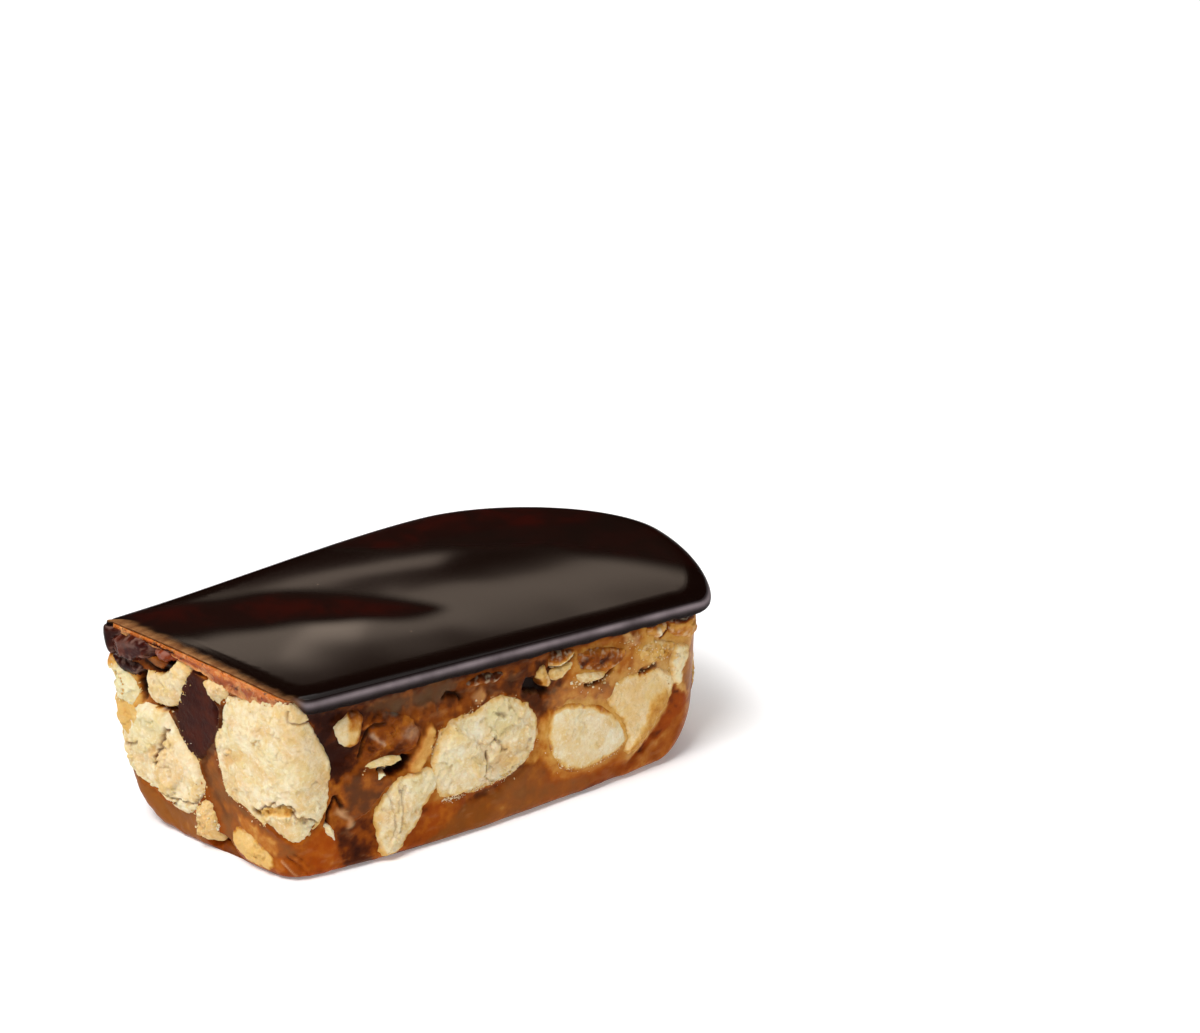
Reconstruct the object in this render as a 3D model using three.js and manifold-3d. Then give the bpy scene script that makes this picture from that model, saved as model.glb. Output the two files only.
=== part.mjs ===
// A cut piece of peanut chew: a bar of caramel packed with peanuts, with a thin layer of toffee
// on top and a skin of dark glaze over that, which hangs down the sides as a rounded lip.
// The bar was cut across its left end, so that end shows sliced peanuts and the layers, and its
// right end is rounded. Each peanut that shows is a solid of its own, flush with the side it shows at.
// Millimetres, +Z up, X along the straight front edge, origin under the middle of the bar's box.
import * as THREE from "three";
import { mergeVertices } from "three/addons/utils/BufferGeometryUtils.js";
import Module from "manifold-3d";

const wasm = await Module();
wasm.setup();

// The plan of the glaze's rim, which is the bar's widest outline.
const FRONT_Y = -12; // the straight front edge
const BACK_Y = 12; // the crest of the bowed back edge
const BACK_CREST_X = 8; // where along the bar that crest is
const CUT_X = -18; // where the cut meets the front edge
const CUT_BACK_Y = 7.2; // where the cut meets the back edge
const CUT_SLANT = THREE.MathUtils.degToRad(13.5); // how far the cut is from square
const END_X = 22.2; // the crest of the rounded end
const END_CREST_Y = 0; // where across the bar that crest is
const FRONT_RELEASE = 5; // the end starts to turn this far before its crest
const END_PULLS = { before: 3, front: -6, back: 5 }; // what rounds the end towards front and back
const BACK_PULLS = { right: 14.5, left: 1, cutX: -13, cutRise: 1.2 }; // and what bows the back
const FRONT_CORNER = 1.5; // rounding of the filling between the cut and the front
const GLAZE_CORNER = 0.5; // the same on the glaze, which is brittle and broke clean

// Heights.
const HEIGHT_CUT = 14.6; // the top of the glaze at the cut's front corner
const HEIGHT_END = 13.4; // and at the far end of the front edge
const CROWN = 1.05; // how much higher the top is towards the back
const CROWN_AT_CUT = 0.75; // the share of that crown which is left at the cut
const CROWN_SWEEP = 115; // degrees of a sine wave from the front edge to the back
const GLAZE = 0.9; // thickness of the glaze over the toffee
const LIP = 2; // how far the glaze hangs down over the sides
const TOFFEE_FRONT = 0.35; // thickness of the toffee at the front edge
const TOFFEE_BACK = 1.2; // and at the back edge
const GAP = 0.3; // clearance between neighbours

// The lip's section from its lower edge up: each level's share of LIP below the top, and its inset.
const LIP_SECTION = [
  { below: 1, inset: 0.2 },
  { below: 0.8, inset: 0.04 },
  { below: 0.5, inset: 0 },
  { below: 0.2, inset: 0.15 },
  { below: 0, inset: 0.7 },
];

// How each side of the filling stands back from the rim: under the lip, by its lean over the whole
// height, and by the rounding of its foot, which is `foot` wide and `rise` high.
const SIDES = {
  front: { overhang: 0.7, lean: 0.4, foot: 0.8, rise: 0.9 },
  end: { overhang: 0.8, lean: 0.5, foot: 3.4, rise: 4.6 },
  back: { overhang: 0.7, lean: 0.9, foot: 4.3, rise: 6.4 },
  cut: { overhang: 0, lean: 0.1, foot: 0.5, rise: 0.9 },
};
const BELLY = 2; // the front is pulled out by this at its foot, which bows it half as much
const BELLY_SHIFT = 6; // and the pull lies this far from its middle, towards the cut

// How many straight steps each stretch of the outline takes, and each rounded foot.
const STEPS = { cut: 3, corner: 3, front: 5, end: 6, back: 7, wane: 6 };
const FOOT_LEVELS = 4;

// How many steps round and along a lump takes, by whether its largest radius is over 3 mm.
const LARGE_RADIUS = 3;
const ROUNDS = { large: [10, 6], small: [8, 5] };
const TAPER = 0.12; // how much slimmer than its middle a lump's far end is

const turned = (degrees) => THREE.MathUtils.degToRad(degrees);

// How far across the bar a point is, from 0 at the front edge to 1 at the back.
const across = (y) => THREE.MathUtils.clamp((y - FRONT_Y) / (BACK_Y - FRONT_Y), 0, 1);

// Heights of the three top faces over a point of the plan.
function glazeTop(x, y) {
  const along = (x - CUT_X) / (END_X - CUT_X);
  const crown = CROWN * THREE.MathUtils.lerp(CROWN_AT_CUT, 1, along);
  const level = THREE.MathUtils.lerp(HEIGHT_CUT, HEIGHT_END, along);
  return level + crown * Math.sin(across(y) * turned(CROWN_SWEEP));
}

const toffeeTop = (x, y) => glazeTop(x, y) - GLAZE;

const fillingTop = (x, y) =>
  toffeeTop(x, y) - THREE.MathUtils.lerp(TOFFEE_FRONT, TOFFEE_BACK, across(y)) - GAP;

// The plan outline with each side moved in by its own inset, and its front bellied out.
function outline({ front, end, back, cut, belly = 0 }, corner = FRONT_CORNER) {
  const frontY = FRONT_Y + front;
  const backY = BACK_Y - back;
  const endX = END_X - end;
  const cutBackY = CUT_BACK_Y - back;
  const cutX = (y) => CUT_X + cut - (y - FRONT_Y) * Math.tan(CUT_SLANT);
  const point = (x, y) => new THREE.Vector2(x, y);
  const cutBack = point(cutX(cutBackY), cutBackY);
  const cutFront = point(cutX(frontY + corner), frontY + corner);
  const frontStart = point(cutX(frontY) + corner, frontY);
  const frontEnd = point(endX - FRONT_RELEASE, frontY);
  const frontBow = point((frontStart.x + frontEnd.x) / 2 - BELLY_SHIFT, frontY - belly);
  const endCrest = point(endX, END_CREST_Y);
  const backCrest = point(BACK_CREST_X, backY);
  const stretches = [
    [new THREE.LineCurve(cutBack, cutFront), STEPS.cut],
    [new THREE.QuadraticBezierCurve(cutFront, point(cutX(frontY), frontY), frontStart), STEPS.corner],
    [new THREE.QuadraticBezierCurve(frontStart, frontBow, frontEnd), STEPS.front],
    [
      new THREE.CubicBezierCurve(
        frontEnd,
        point(endX - END_PULLS.before, frontY),
        point(endX, END_PULLS.front),
        endCrest,
      ),
      STEPS.end,
    ],
    [
      new THREE.CubicBezierCurve(
        endCrest,
        point(endX, END_PULLS.back),
        point(BACK_PULLS.right, backY),
        backCrest,
      ),
      STEPS.back,
    ],
    [
      new THREE.CubicBezierCurve(
        backCrest,
        point(BACK_PULLS.left, backY),
        point(BACK_PULLS.cutX, cutBackY + BACK_PULLS.cutRise),
        cutBack,
      ),
      STEPS.wane,
    ],
  ];
  return stretches.flatMap(([curve, steps]) => curve.getPoints(steps).slice(0, -1));
}

// A closed mesh through rings of equal length, the lowest first, shut by a fan at each end.
function loft(rings, lowMiddle, highMiddle) {
  const count = rings[0].length;
  const corners = [...rings.flat(), lowMiddle, highMiddle];
  const low = corners.length - 2;
  const high = corners.length - 1;
  const last = (rings.length - 1) * count;
  const index = [];
  for (let i = 0; i < count; i++) {
    const next = (i + 1) % count;
    for (let start = 0; start < last; start += count) {
      const [a, b] = [start + i, start + next];
      index.push(a, b, b + count, a, b + count, a + count);
    }
    index.push(low, next, i, high, last + i, last + next);
  }
  const geometry = new THREE.BufferGeometry().setFromPoints(corners);
  geometry.setIndex(index);
  return geometry;
}

// A closed geometry as a solid that can be cut and joined.
function solidOf(geometry) {
  const bare = new THREE.BufferGeometry();
  bare.setAttribute("position", geometry.getAttribute("position"));
  bare.setIndex(geometry.index);
  const merged = mergeVertices(bare);
  return new wasm.Manifold(
    new wasm.Mesh({
      numProp: 3,
      vertProperties: new Float32Array(merged.attributes.position.array),
      triVerts: new Uint32Array(merged.index.array),
    }),
  );
}

// A cut or joined solid as a geometry with flat faces.
function geometryOf(solid) {
  const { vertProperties, triVerts } = solid.getMesh();
  const indexed = new THREE.BufferGeometry();
  indexed.setAttribute("position", new THREE.BufferAttribute(vertProperties, 3));
  indexed.setIndex(new THREE.BufferAttribute(triVerts, 1));
  const flat = indexed.toNonIndexed();
  flat.computeVertexNormals();
  return flat;
}

// Shuts a stack of rings with a domed top that follows a height function, and makes it a solid.
function domed(rings, lowZ, top) {
  const rim = rings[rings.length - 1];
  const halfway = rim.map((p) => new THREE.Vector3(p.x / 2, p.y / 2, top(p.x / 2, p.y / 2)));
  const low = new THREE.Vector3(0, 0, lowZ);
  const high = new THREE.Vector3(0, 0, top(0, 0));
  return solidOf(loft([...rings, halfway], low, high));
}

// How far a rounded foot stands back at a height above the floor.
const footInset = ({ foot, rise }, height) =>
  height >= rise ? 0 : foot * (1 - Math.sqrt(1 - (1 - height / rise) ** 2));

// The insets of the filling's sides at a height, with every side let out by `grow`.
function sideInsets(height, grow) {
  const share = height / HEIGHT_CUT;
  const insets = { belly: BELLY * (1 - share) ** 2 };
  for (const [name, side] of Object.entries(SIDES)) {
    insets[name] = side.overhang + side.lean * (1 - share) + footInset(side, height) - grow;
  }
  return insets;
}

// The bar from its flat foot up to a height function, let out by `grow` all round.
function bar(top, grow = 0, corner = FRONT_CORNER) {
  const highestFoot = SIDES.back.rise;
  const heights = [];
  for (let k = 0; k <= FOOT_LEVELS; k++) {
    heights.push(highestFoot * (1 - Math.cos(turned((90 * k) / FOOT_LEVELS))));
  }
  const ring = (height, z) =>
    outline(sideInsets(height, grow), corner).map((p) => new THREE.Vector3(p.x, p.y, z(p)));
  const rings = heights.map((height) => ring(height, () => (height === 0 ? -grow : height)));
  rings.push(ring(HEIGHT_CUT, (p) => top(p.x, p.y) + grow));
  return domed(rings, -grow, (x, y) => top(x, y) + grow);
}

// The glaze with its rounded lip, as a block that the bar is still to be cut out of.
function glazeBlock() {
  const rings = LIP_SECTION.map(({ below, inset }) =>
    outline({ front: inset, end: inset, back: inset, cut: 0 }, GLAZE_CORNER).map(
      (p) => new THREE.Vector3(p.x, p.y, glazeTop(p.x, p.y) - below * LIP),
    ),
  );
  return domed(rings, glazeTop(0, 0) - LIP, glazeTop);
}

// Each side is met by a straight line across the plan, from a point inside the bar.
const FACES = {
  front: { from: (at) => new THREE.Vector2(at, 0), toward: new THREE.Vector2(0, -1) },
  end: { from: (at) => new THREE.Vector2(0, at), toward: new THREE.Vector2(1, 0) },
  back: { from: (at) => new THREE.Vector2(at, 0), toward: new THREE.Vector2(0, 1) },
  cut: {
    from: (at) => new THREE.Vector2(0, FRONT_Y + at * Math.cos(CUT_SLANT)),
    toward: new THREE.Vector2(-1, 0),
  },
};

// The place on a side at a distance along it, half way up, and the direction out of it.
function placeOn(side, at) {
  const { from, toward } = FACES[side];
  const origin = from(at);
  const key = toward.x === 0 ? "x" : "y";
  const ring = outline(sideInsets(HEIGHT_CUT / 2, 0));
  for (const [i, p] of ring.entries()) {
    const q = ring[(i + 1) % ring.length];
    const share = (origin[key] - p[key]) / (q[key] - p[key]);
    const spot = p.clone().lerp(q, share);
    if (share >= 0 && share < 1 && spot.clone().sub(origin).dot(toward) > 0) {
      const run = q.clone().sub(p).normalize();
      return { spot, out: new THREE.Vector3(run.y, -run.x, 0) };
    }
  }
  throw new Error(`no ${side} side at ${at}`);
}

// One lump in the filling, egg-shaped. `at` is its middle's distance along its side (from the front
// corner on the cut, along X or Y on the others), `z` its height and `deep` how far inside the side it
// lies. `size` gives its radii along the side, upward and inward, and `tilt` its turn in degrees.
function lump(name, finish, side, at, z, deep, size, tilt) {
  return { name, finish, side, at, z, deep, size, tilt };
}

// The lumps, in the order that they displace each other.
const LUMPS = [
  lump("peanut_cut_large", "peanut", "cut", 3.6, 8.8, 0.5, [4.8, 5.8, 4.4], 8),
  lump("peanut_cut_lower", "peanut", "cut", 13.6, 6.3, 0.4, [5, 3.6, 3.6], 45),
  lump("peanut_cut_upper", "peanut", "cut", 13.4, 11.9, 0.3, [2.6, 1.8, 2.4], 20),
  lump("peanut_cut_corner", "peanut", "cut", 18.2, 10.7, 0.3, [1.6, 1.2, 2.2], 4),
  lump("peanut_cut_edge", "toasted", "cut", 18.9, 7.8, 0.3, [1.6, 2.2, 2.6], 6),
  lump("peanut_cut_scrap", "toasted", "cut", 9.6, 3.3, 0.1, [1.3, 1.7, 1.5], -10),
  lump("peanut_cut_foot", "toasted", "cut", 4.9, 1.8, 0.3, [2.2, 1.4, 2.6], -25),
  lump("glaze_chunk", "glaze", "cut", 17, 13.5, 0.5, [2.9, 1.3, 2.4], 4),
  lump("dark_seam", "dark", "cut", 9.9, 10.2, 0.2, [1.9, 3, 3], -8),
  lump("peanut_front_tip", "peanut", "front", -12.9, 11, 0.8, [1.6, 1.3, 1.7], 30),
  lump("peanut_front_skin", "toasted", "front", -9.2, 9, 1.2, [2.8, 2.5, 2.4], 30),
  lump("peanut_front_low", "peanut", "front", -8.9, 2.8, 0.9, [3.8, 2.1, 2.7], 58),
  lump("peanut_front_middle", "peanut", "front", -1.9, 6.5, 0.9, [5.1, 3.2, 4], 34),
  lump("peanut_front_right", "peanut", "front", 7.2, 4.3, 0.8, [4, 2.7, 3.6], -14),
  lump("peanut_front_chip", "peanut", "front", 4.6, 11.1, 0.3, [1.6, 1, 1.4], 20),
  lump("peanut_front_husk", "toasted", "front", 8.4, 10.3, 0.9, [2.4, 1.4, 2], 5),
  lump("peanut_front_far", "peanut", "front", 14, 6.9, 1, [3.3, 2.7, 3.2], 25),
  lump("peanut_front_amber", "toasted", "front", 14.2, 10.8, 0.7, [2.6, 1.1, 1.8], -4),
  lump("peanut_end_front", "toasted", "end", -5.6, 5.4, 1.4, [3.4, 3.1, 3.2], 20),
  lump("peanut_end_middle", "peanut", "end", 1.9, 8.4, 1.3, [4.2, 2.9, 3.4], 28),
  lump("peanut_end_low", "peanut", "end", 3.6, 3.2, 2.6, [3.2, 2, 2.9], -12),
  lump("peanut_back_left", "peanut", "back", -15, 8.3, 1.4, [4.6, 3.3, 3], 18),
  lump("peanut_back_low", "toasted", "back", -8, 4, 2, [3.8, 2.3, 2.9], -24),
  lump("peanut_back_high", "peanut", "back", -6, 9.9, 1.3, [4, 2.5, 3], 10),
  lump("peanut_back_middle", "peanut", "back", 1.6, 6.1, 1.6, [4.6, 3.2, 3.4], 38),
  lump("peanut_back_chip", "toasted", "back", 3.9, 11.3, 0.6, [2.4, 1.2, 1.8], -8),
  lump("peanut_back_right", "peanut", "back", 9.9, 8.4, 1.5, [4.4, 3, 3.2], -16),
  lump("peanut_back_foot", "toasted", "back", 8.8, 3, 2.6, [3.4, 1.9, 2.7], 8),
  lump("peanut_back_turn", "peanut", "back", 16.9, 7.6, 1.5, [3.6, 3.2, 3], 35),
];

// A lump's body, let out by a clearance.
function lumpBody({ side, at, z, deep, size, tilt }, grow = 0) {
  const { spot, out } = placeOn(side, at);
  const up = new THREE.Vector3(0, 0, 1);
  const basis = new THREE.Matrix4().makeBasis(up.clone().cross(out), up, out);
  basis.setPosition(new THREE.Vector3(spot.x, spot.y, z).addScaledVector(out, -deep));
  const rounds = Math.max(...size) > LARGE_RADIUS ? ROUNDS.large : ROUNDS.small;
  const geometry = new THREE.SphereGeometry(1, ...rounds);
  const position = geometry.getAttribute("position");
  for (let i = 0; i < position.count; i++) {
    const slim = 1 - TAPER * position.getX(i);
    position.setY(i, position.getY(i) * slim);
    position.setZ(i, position.getZ(i) * slim);
  }
  geometry.scale(...size.map((radius) => radius + grow));
  geometry.rotateZ(turned(tilt));
  geometry.applyMatrix4(basis);
  return solidOf(geometry);
}

const FINISHES = {
  glaze: { color: 0x28120d, roughness: 0.12 },
  toffee: { color: 0x9c5424, roughness: 0.3 },
  caramel: { color: 0x8f5527, roughness: 0.35 },
  dark: { color: 0x3a201c, roughness: 0.35 },
  peanut: { color: 0xe3cf9c, roughness: 0.6 },
  toasted: { color: 0xc9913f, roughness: 0.5 },
};

function piece(name, solid, finish) {
  const material = new THREE.MeshStandardMaterial({ ...FINISHES[finish], metalness: 0 });
  const mesh = new THREE.Mesh(geometryOf(solid), material);
  mesh.name = name;
  return mesh;
}

// The lumps, flush with the sides, and the caramel with a pocket round each of them.
function fillingPieces() {
  const filling = bar(fillingTop);
  const pieces = [];
  const pockets = [];
  for (const entry of LUMPS) {
    let body = lumpBody(entry).intersect(filling);
    for (const pocket of pockets) body = body.subtract(pocket);
    pieces.push(piece(entry.name, body, entry.finish));
    pockets.push(lumpBody(entry, GAP));
  }
  const caramel = pockets.reduce((rest, pocket) => rest.subtract(pocket), filling);
  return [...pieces, piece("caramel", caramel, "caramel")];
}

const toffeeLayer = bar(toffeeTop).subtract(bar(fillingTop, GAP));
const glaze = glazeBlock().subtract(bar(toffeeTop, GAP, GLAZE_CORNER / 2));

const chew = new THREE.Group();
chew.add(...fillingPieces());
chew.add(piece("toffee_layer", toffeeLayer, "toffee"));
chew.add(piece("glaze", glaze, "glaze"));

// The origin lies under the middle of the bar's box.
const box = new THREE.Box3().setFromObject(chew);
const middle = box.getCenter(new THREE.Vector3());
chew.position.set(-middle.x, -middle.y, -box.min.z);

export default chew;
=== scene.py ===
"""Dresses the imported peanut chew: caramel full of sliced peanuts under toffee and a dark, glossy glaze.

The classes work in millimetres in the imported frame, and Maker turns their shapes into meshes in metres.
The sides of the filling are treated as one wall that runs round the bar. A place on the wall is a pair:
how far along it runs, from the back corner of the cut past the front, the rounded end and the back, and
its height. Every peanut, vein and patch of caramel is relief on that wall.
"""

import logging
import math
from dataclasses import dataclass, field
from enum import Enum
from typing import Callable, NamedTuple, Optional, Sequence, Union

import bmesh
import bpy
import numpy as np
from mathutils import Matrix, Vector
from mathutils.bvhtree import BVHTree
from mathutils.geometry import delaunay_2d_cdt


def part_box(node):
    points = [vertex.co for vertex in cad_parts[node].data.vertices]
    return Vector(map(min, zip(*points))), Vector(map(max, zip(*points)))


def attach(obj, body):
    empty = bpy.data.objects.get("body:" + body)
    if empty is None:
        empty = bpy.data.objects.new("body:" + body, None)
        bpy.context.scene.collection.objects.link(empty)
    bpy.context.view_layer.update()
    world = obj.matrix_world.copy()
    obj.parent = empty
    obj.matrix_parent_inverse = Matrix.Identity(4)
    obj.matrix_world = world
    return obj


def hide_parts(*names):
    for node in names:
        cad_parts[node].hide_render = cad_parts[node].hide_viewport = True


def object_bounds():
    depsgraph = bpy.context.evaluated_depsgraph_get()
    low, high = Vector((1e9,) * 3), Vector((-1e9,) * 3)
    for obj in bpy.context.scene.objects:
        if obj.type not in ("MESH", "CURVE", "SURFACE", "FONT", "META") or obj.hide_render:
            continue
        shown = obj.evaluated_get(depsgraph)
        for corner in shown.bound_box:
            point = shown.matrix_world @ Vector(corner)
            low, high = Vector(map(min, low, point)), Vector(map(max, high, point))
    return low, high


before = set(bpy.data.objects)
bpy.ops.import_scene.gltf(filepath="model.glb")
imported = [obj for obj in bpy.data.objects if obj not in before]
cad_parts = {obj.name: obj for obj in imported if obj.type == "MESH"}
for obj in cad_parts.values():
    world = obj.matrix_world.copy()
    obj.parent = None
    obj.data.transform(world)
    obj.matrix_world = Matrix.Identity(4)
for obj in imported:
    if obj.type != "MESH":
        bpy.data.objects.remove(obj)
CAD_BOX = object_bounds()

Array = np.ndarray
Socket = bpy.types.NodeSocket
Value = Union[float, tuple, Socket]
Pair = tuple[float, float]

MM = 0.001
BODY = "root"
log = logging.getLogger("peanut_chew")


class Slot(Enum):
    """The record's material slots."""

    GLAZE = "glaze"
    TOFFEE = "toffee"
    CARAMEL = "caramel"
    DARK = "dark_caramel"
    PEANUT = "peanut"
    TOASTED = "peanut_toasted"


class Tint(Enum):
    """What a point of the filling can be coloured by. Each is a value that its mesh carries."""

    # Painted shade: darkens cracks, holes and hollows as if in shadow.
    CRACK_SHADE = "crack_shade"
    TAN = "tan"
    GREEN = "green"
    SYRUP = "syrup"
    ORANGE = "orange"
    MILK = "milk"
    # Milky haze and pale crumbly edges, and also highlights and sheen painted on the caramel and the glaze
    # chunk.
    HAZE_AND_HIGHLIGHT = "haze_and_highlight"


CRACK_SHADE, TAN, GREEN, SYRUP, ORANGE, MILK, HAZE_AND_HIGHLIGHT = Tint


class Form(Enum):
    """How a mark on the wall is shaped."""

    LINE = "line"
    AREA = "area"


class On(Enum):
    """Which pieces a mark on the wall reaches."""

    ALL = "all"
    PEANUTS = "peanuts"
    CARAMEL = "caramel"


# Noise and outlines


def ease(value: Array, low: float, high: float) -> Array:
    """Rises smoothly from 0 at low to 1 at high, or falls where high is the smaller one."""
    t = np.clip((value - low) / (high - low), 0.0, 1.0)
    return t * t * (3 - 2 * t)


def fading(form: Form, reach: Array, width: float) -> Array:
    """How strongly a line or area acts at distances from it, fading out over a width."""
    return np.exp(-((reach / width) ** 2)) if form is Form.LINE else ease(reach, width / 2, -width / 2)


def runs_of(line: Array) -> Array:
    """How far along a line each of its points lies."""
    return np.concatenate([[0], np.cumsum(np.linalg.norm(np.diff(line, axis=0), axis=1))])


class Grain:
    """Seeded noise over points in millimetres, the same in every run."""

    MASK = 0xFFFFFFFF
    PRIMES = np.array([374761393, 668265263, 1440662683])

    @classmethod
    def scatter(cls, cell: Array, seed: int, count: int) -> Array:
        """Gives each whole-numbered cell its own numbers.

        Args:
            cell: cells, three whole numbers each.
            seed: which set of numbers.
            count: how many numbers a cell gets.

        Returns:
            One row a cell, from 0 to 1.
        """
        h = ((cell.astype(np.int64) * cls.PRIMES).sum(-1) + seed * 1013904223) & cls.MASK
        rows = []
        for _ in range(count):
            h = ((h ^ (h >> 15)) * 1274126177) & cls.MASK
            h = ((h ^ (h >> 13)) * 374761393) & cls.MASK
            h = h ^ (h >> 16)
            rows.append(h / 4294967296.0)
            h = (h + 0x9E3779B9) & cls.MASK
        return np.stack(rows, -1)

    @classmethod
    def smooth(cls, points: Array, size: float, seed: int) -> Array:
        """Soft hills and hollows.

        Args:
            points: places in space.
            size: the width of a hill.
            seed: which noise.

        Returns:
            About -1 to 1 a point.
        """
        q = points / size
        base = np.floor(q)
        f = q - base
        w = f * f * f * (f * (f * 6 - 15) + 10)
        total = np.zeros(len(points))
        for corner in range(8):
            off = np.array([corner & 1, (corner >> 1) & 1, (corner >> 2) & 1], float)
            slope = cls.scatter(base + off, seed, 3) * 2 - 1
            weight = np.prod(np.where(off > 0, w, 1 - w), axis=1)
            total += weight * ((f - off) * slope).sum(1)
        return total * 1.5

    @classmethod
    def rough(cls, points: Array, size: float, seed: int, octaves: int = 3) -> Array:
        """Hills with smaller ones on them.

        Args:
            points: places in space.
            size: the width of the largest hills.
            seed: which noise.
            octaves: how many sizes.

        Returns:
            About -1 to 1 a point.
        """
        total = np.zeros(len(points))
        for k in range(octaves):
            total += cls.smooth(points, size / 2**k, seed + 17 * k) * 0.5**k
        return total

    @classmethod
    def warped(cls, points: Array, size: float, amount: float, seed: int) -> Array:
        """Points pushed about, so that what is read at them has ragged edges."""
        push = [cls.rough(points, size, seed + 101 * k, 2) for k in range(3)]
        return points + amount * np.stack(push, -1)

    @classmethod
    def cells(cls, points: Array, size: float, seed: int) -> tuple[Array, Array, Array]:
        """Splits space into irregular cells, as a brittle thing breaks.

        Args:
            points: places in space.
            size: the width of a cell.
            seed: which cells.

        Returns:
            The distance to the nearest border, five numbers of the own cell, and the way to its middle.
        """
        q = points / size
        base = np.floor(q)
        best = np.full(len(points), np.inf)
        second = np.full(len(points), np.inf)
        own = np.zeros((len(points), 5))
        way = np.zeros((len(points), 3))
        for dx in (-1, 0, 1):
            for dy in (-1, 0, 1):
                for dz in (-1, 0, 1):
                    cell = base + np.array([dx, dy, dz], float)
                    r = cls.scatter(cell, seed, 8)
                    delta = cell + r[:, :3] - q
                    reach = np.sqrt((delta**2).sum(1))
                    nearer = reach < best
                    second = np.where(nearer, best, np.minimum(second, reach))
                    best = np.where(nearer, reach, best)
                    own[nearer] = r[nearer, 3:]
                    way[nearer] = delta[nearer]
        return (second - best) * size, own, way * size


class Outline:
    """A closed or open line of flat points."""

    def __init__(self, points: Sequence, closed: bool = True, rounds: int = 2) -> None:
        """Cuts the corners of the line a few times.

        Args:
            points: the corners, as pairs or as one row of numbers.
            closed: whether the last joins the first.
            rounds: how often each corner is cut.
        """
        line = np.asarray(points, float).reshape(-1, 2)
        for _ in range(rounds if len(line) > 2 else 0):
            after = np.roll(line, -1, 0) if closed else line[1:]
            before = line if closed else line[:-1]
            cut = np.empty((2 * len(before), 2))
            cut[0::2] = 0.75 * before + 0.25 * after
            cut[1::2] = 0.25 * before + 0.75 * after
            line = cut if closed else np.vstack([line[:1], cut, line[-1:]])
        self.line = line
        self.closed = closed

    def distance(self, flat: Array) -> Array:
        """How far points are from the line, less than 0 inside a closed one.

        Args:
            flat: flat places.

        Returns:
            One distance a point.
        """
        ends = np.roll(self.line, -1, 0) if self.closed else self.line[1:]
        starts = self.line if self.closed else self.line[:-1]
        best = np.full(len(flat), np.inf)
        inside = np.zeros(len(flat), bool)
        for a, b in zip(starts, ends):
            run = b - a
            from_a = flat - a
            share = np.clip(from_a @ run / max(float(run @ run), 1e-12), 0, 1)
            best = np.minimum(best, ((from_a - share[:, None] * run) ** 2).sum(1))
            if a[1] != b[1]:
                crosses = (a[1] > flat[:, 1]) != (b[1] > flat[:, 1])
                at = a[0] + (flat[:, 1] - a[1]) * run[0] / run[1]
                inside ^= crosses & (flat[:, 0] < at)
        reach = np.sqrt(best)
        return np.where(inside, -reach, reach) if self.closed else reach

    def spaced(self, step: float) -> Array:
        """Points along the closed line at about even steps.

        Args:
            step: the distance between them.

        Returns:
            Flat places.
        """
        line = np.vstack([self.line, self.line[:1]])
        run = runs_of(line)
        count = max(12, round(run[-1] / step))
        at = np.linspace(0, run[-1], count, endpoint=False)
        return np.stack([np.interp(at, run, line[:, 0]), np.interp(at, run, line[:, 1])], -1)

    def grown(self, by: float) -> "Outline":
        """The closed line, let out from its middle by about a distance."""
        middle = self.line.mean(0)
        away = self.line - middle
        reach = np.linalg.norm(away, axis=1, keepdims=True)
        return Outline(middle + away * (1 + by / np.maximum(reach, by)), rounds=0)


def filled(rim: Array, step: float) -> tuple[Array, list[tuple[int, int, int]]]:
    """Fills a closed line with evenly spread points and triangles.

    Args:
        rim: the line's points.
        step: the distance between points inside.

    Returns:
        The points inside, and triangles that number the rim's points first.
    """
    low, high = rim.min(0), rim.max(0)
    rise = step * math.sqrt(3) / 2
    rows = np.arange(low[1] + rise / 2, high[1], rise)
    columns = np.arange(low[0], high[0] + step, step)
    grid = np.array([(x + step / 2 * (k % 2), y) for k, y in enumerate(rows) for x in columns])
    line = Outline(rim, rounds=0)
    inner = grid[line.distance(grid) < -0.55 * step] if len(grid) else np.zeros((0, 2))
    flat = np.vstack([rim, inner])
    count = len(rim)
    edges = [(i, (i + 1) % count) for i in range(count)]
    made = delaunay_2d_cdt([Vector(p) for p in flat], edges, [], 0, 1e-7, False)
    if len(made[0]) != len(flat):
        raise ValueError(f"a cap's outline crosses itself: {len(made[0])} points of {len(flat)}")
    triangles = np.array(made[2])
    held = line.distance(flat[triangles].mean(1)) < -1e-5
    return inner, [tuple(t) for t in triangles[held].tolist()]


# The bar


@dataclass(frozen=True)
class SideForm:
    """How one side of the filling stands back from the rim of the glaze."""

    overhang: float
    lean: float
    foot: float
    rise: float

    def inset(self, height: Array, full: float) -> Array:
        """How far the side stands back at a height, for a bar that is `full` high."""
        foot = 1 - np.clip(height / self.rise, 0, 1)
        rounding = self.foot * (1 - np.sqrt(np.clip(1 - foot**2, 0, 1)))
        return self.overhang + self.lean * (1 - np.clip(height / full, 0, 1)) + rounding


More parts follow.
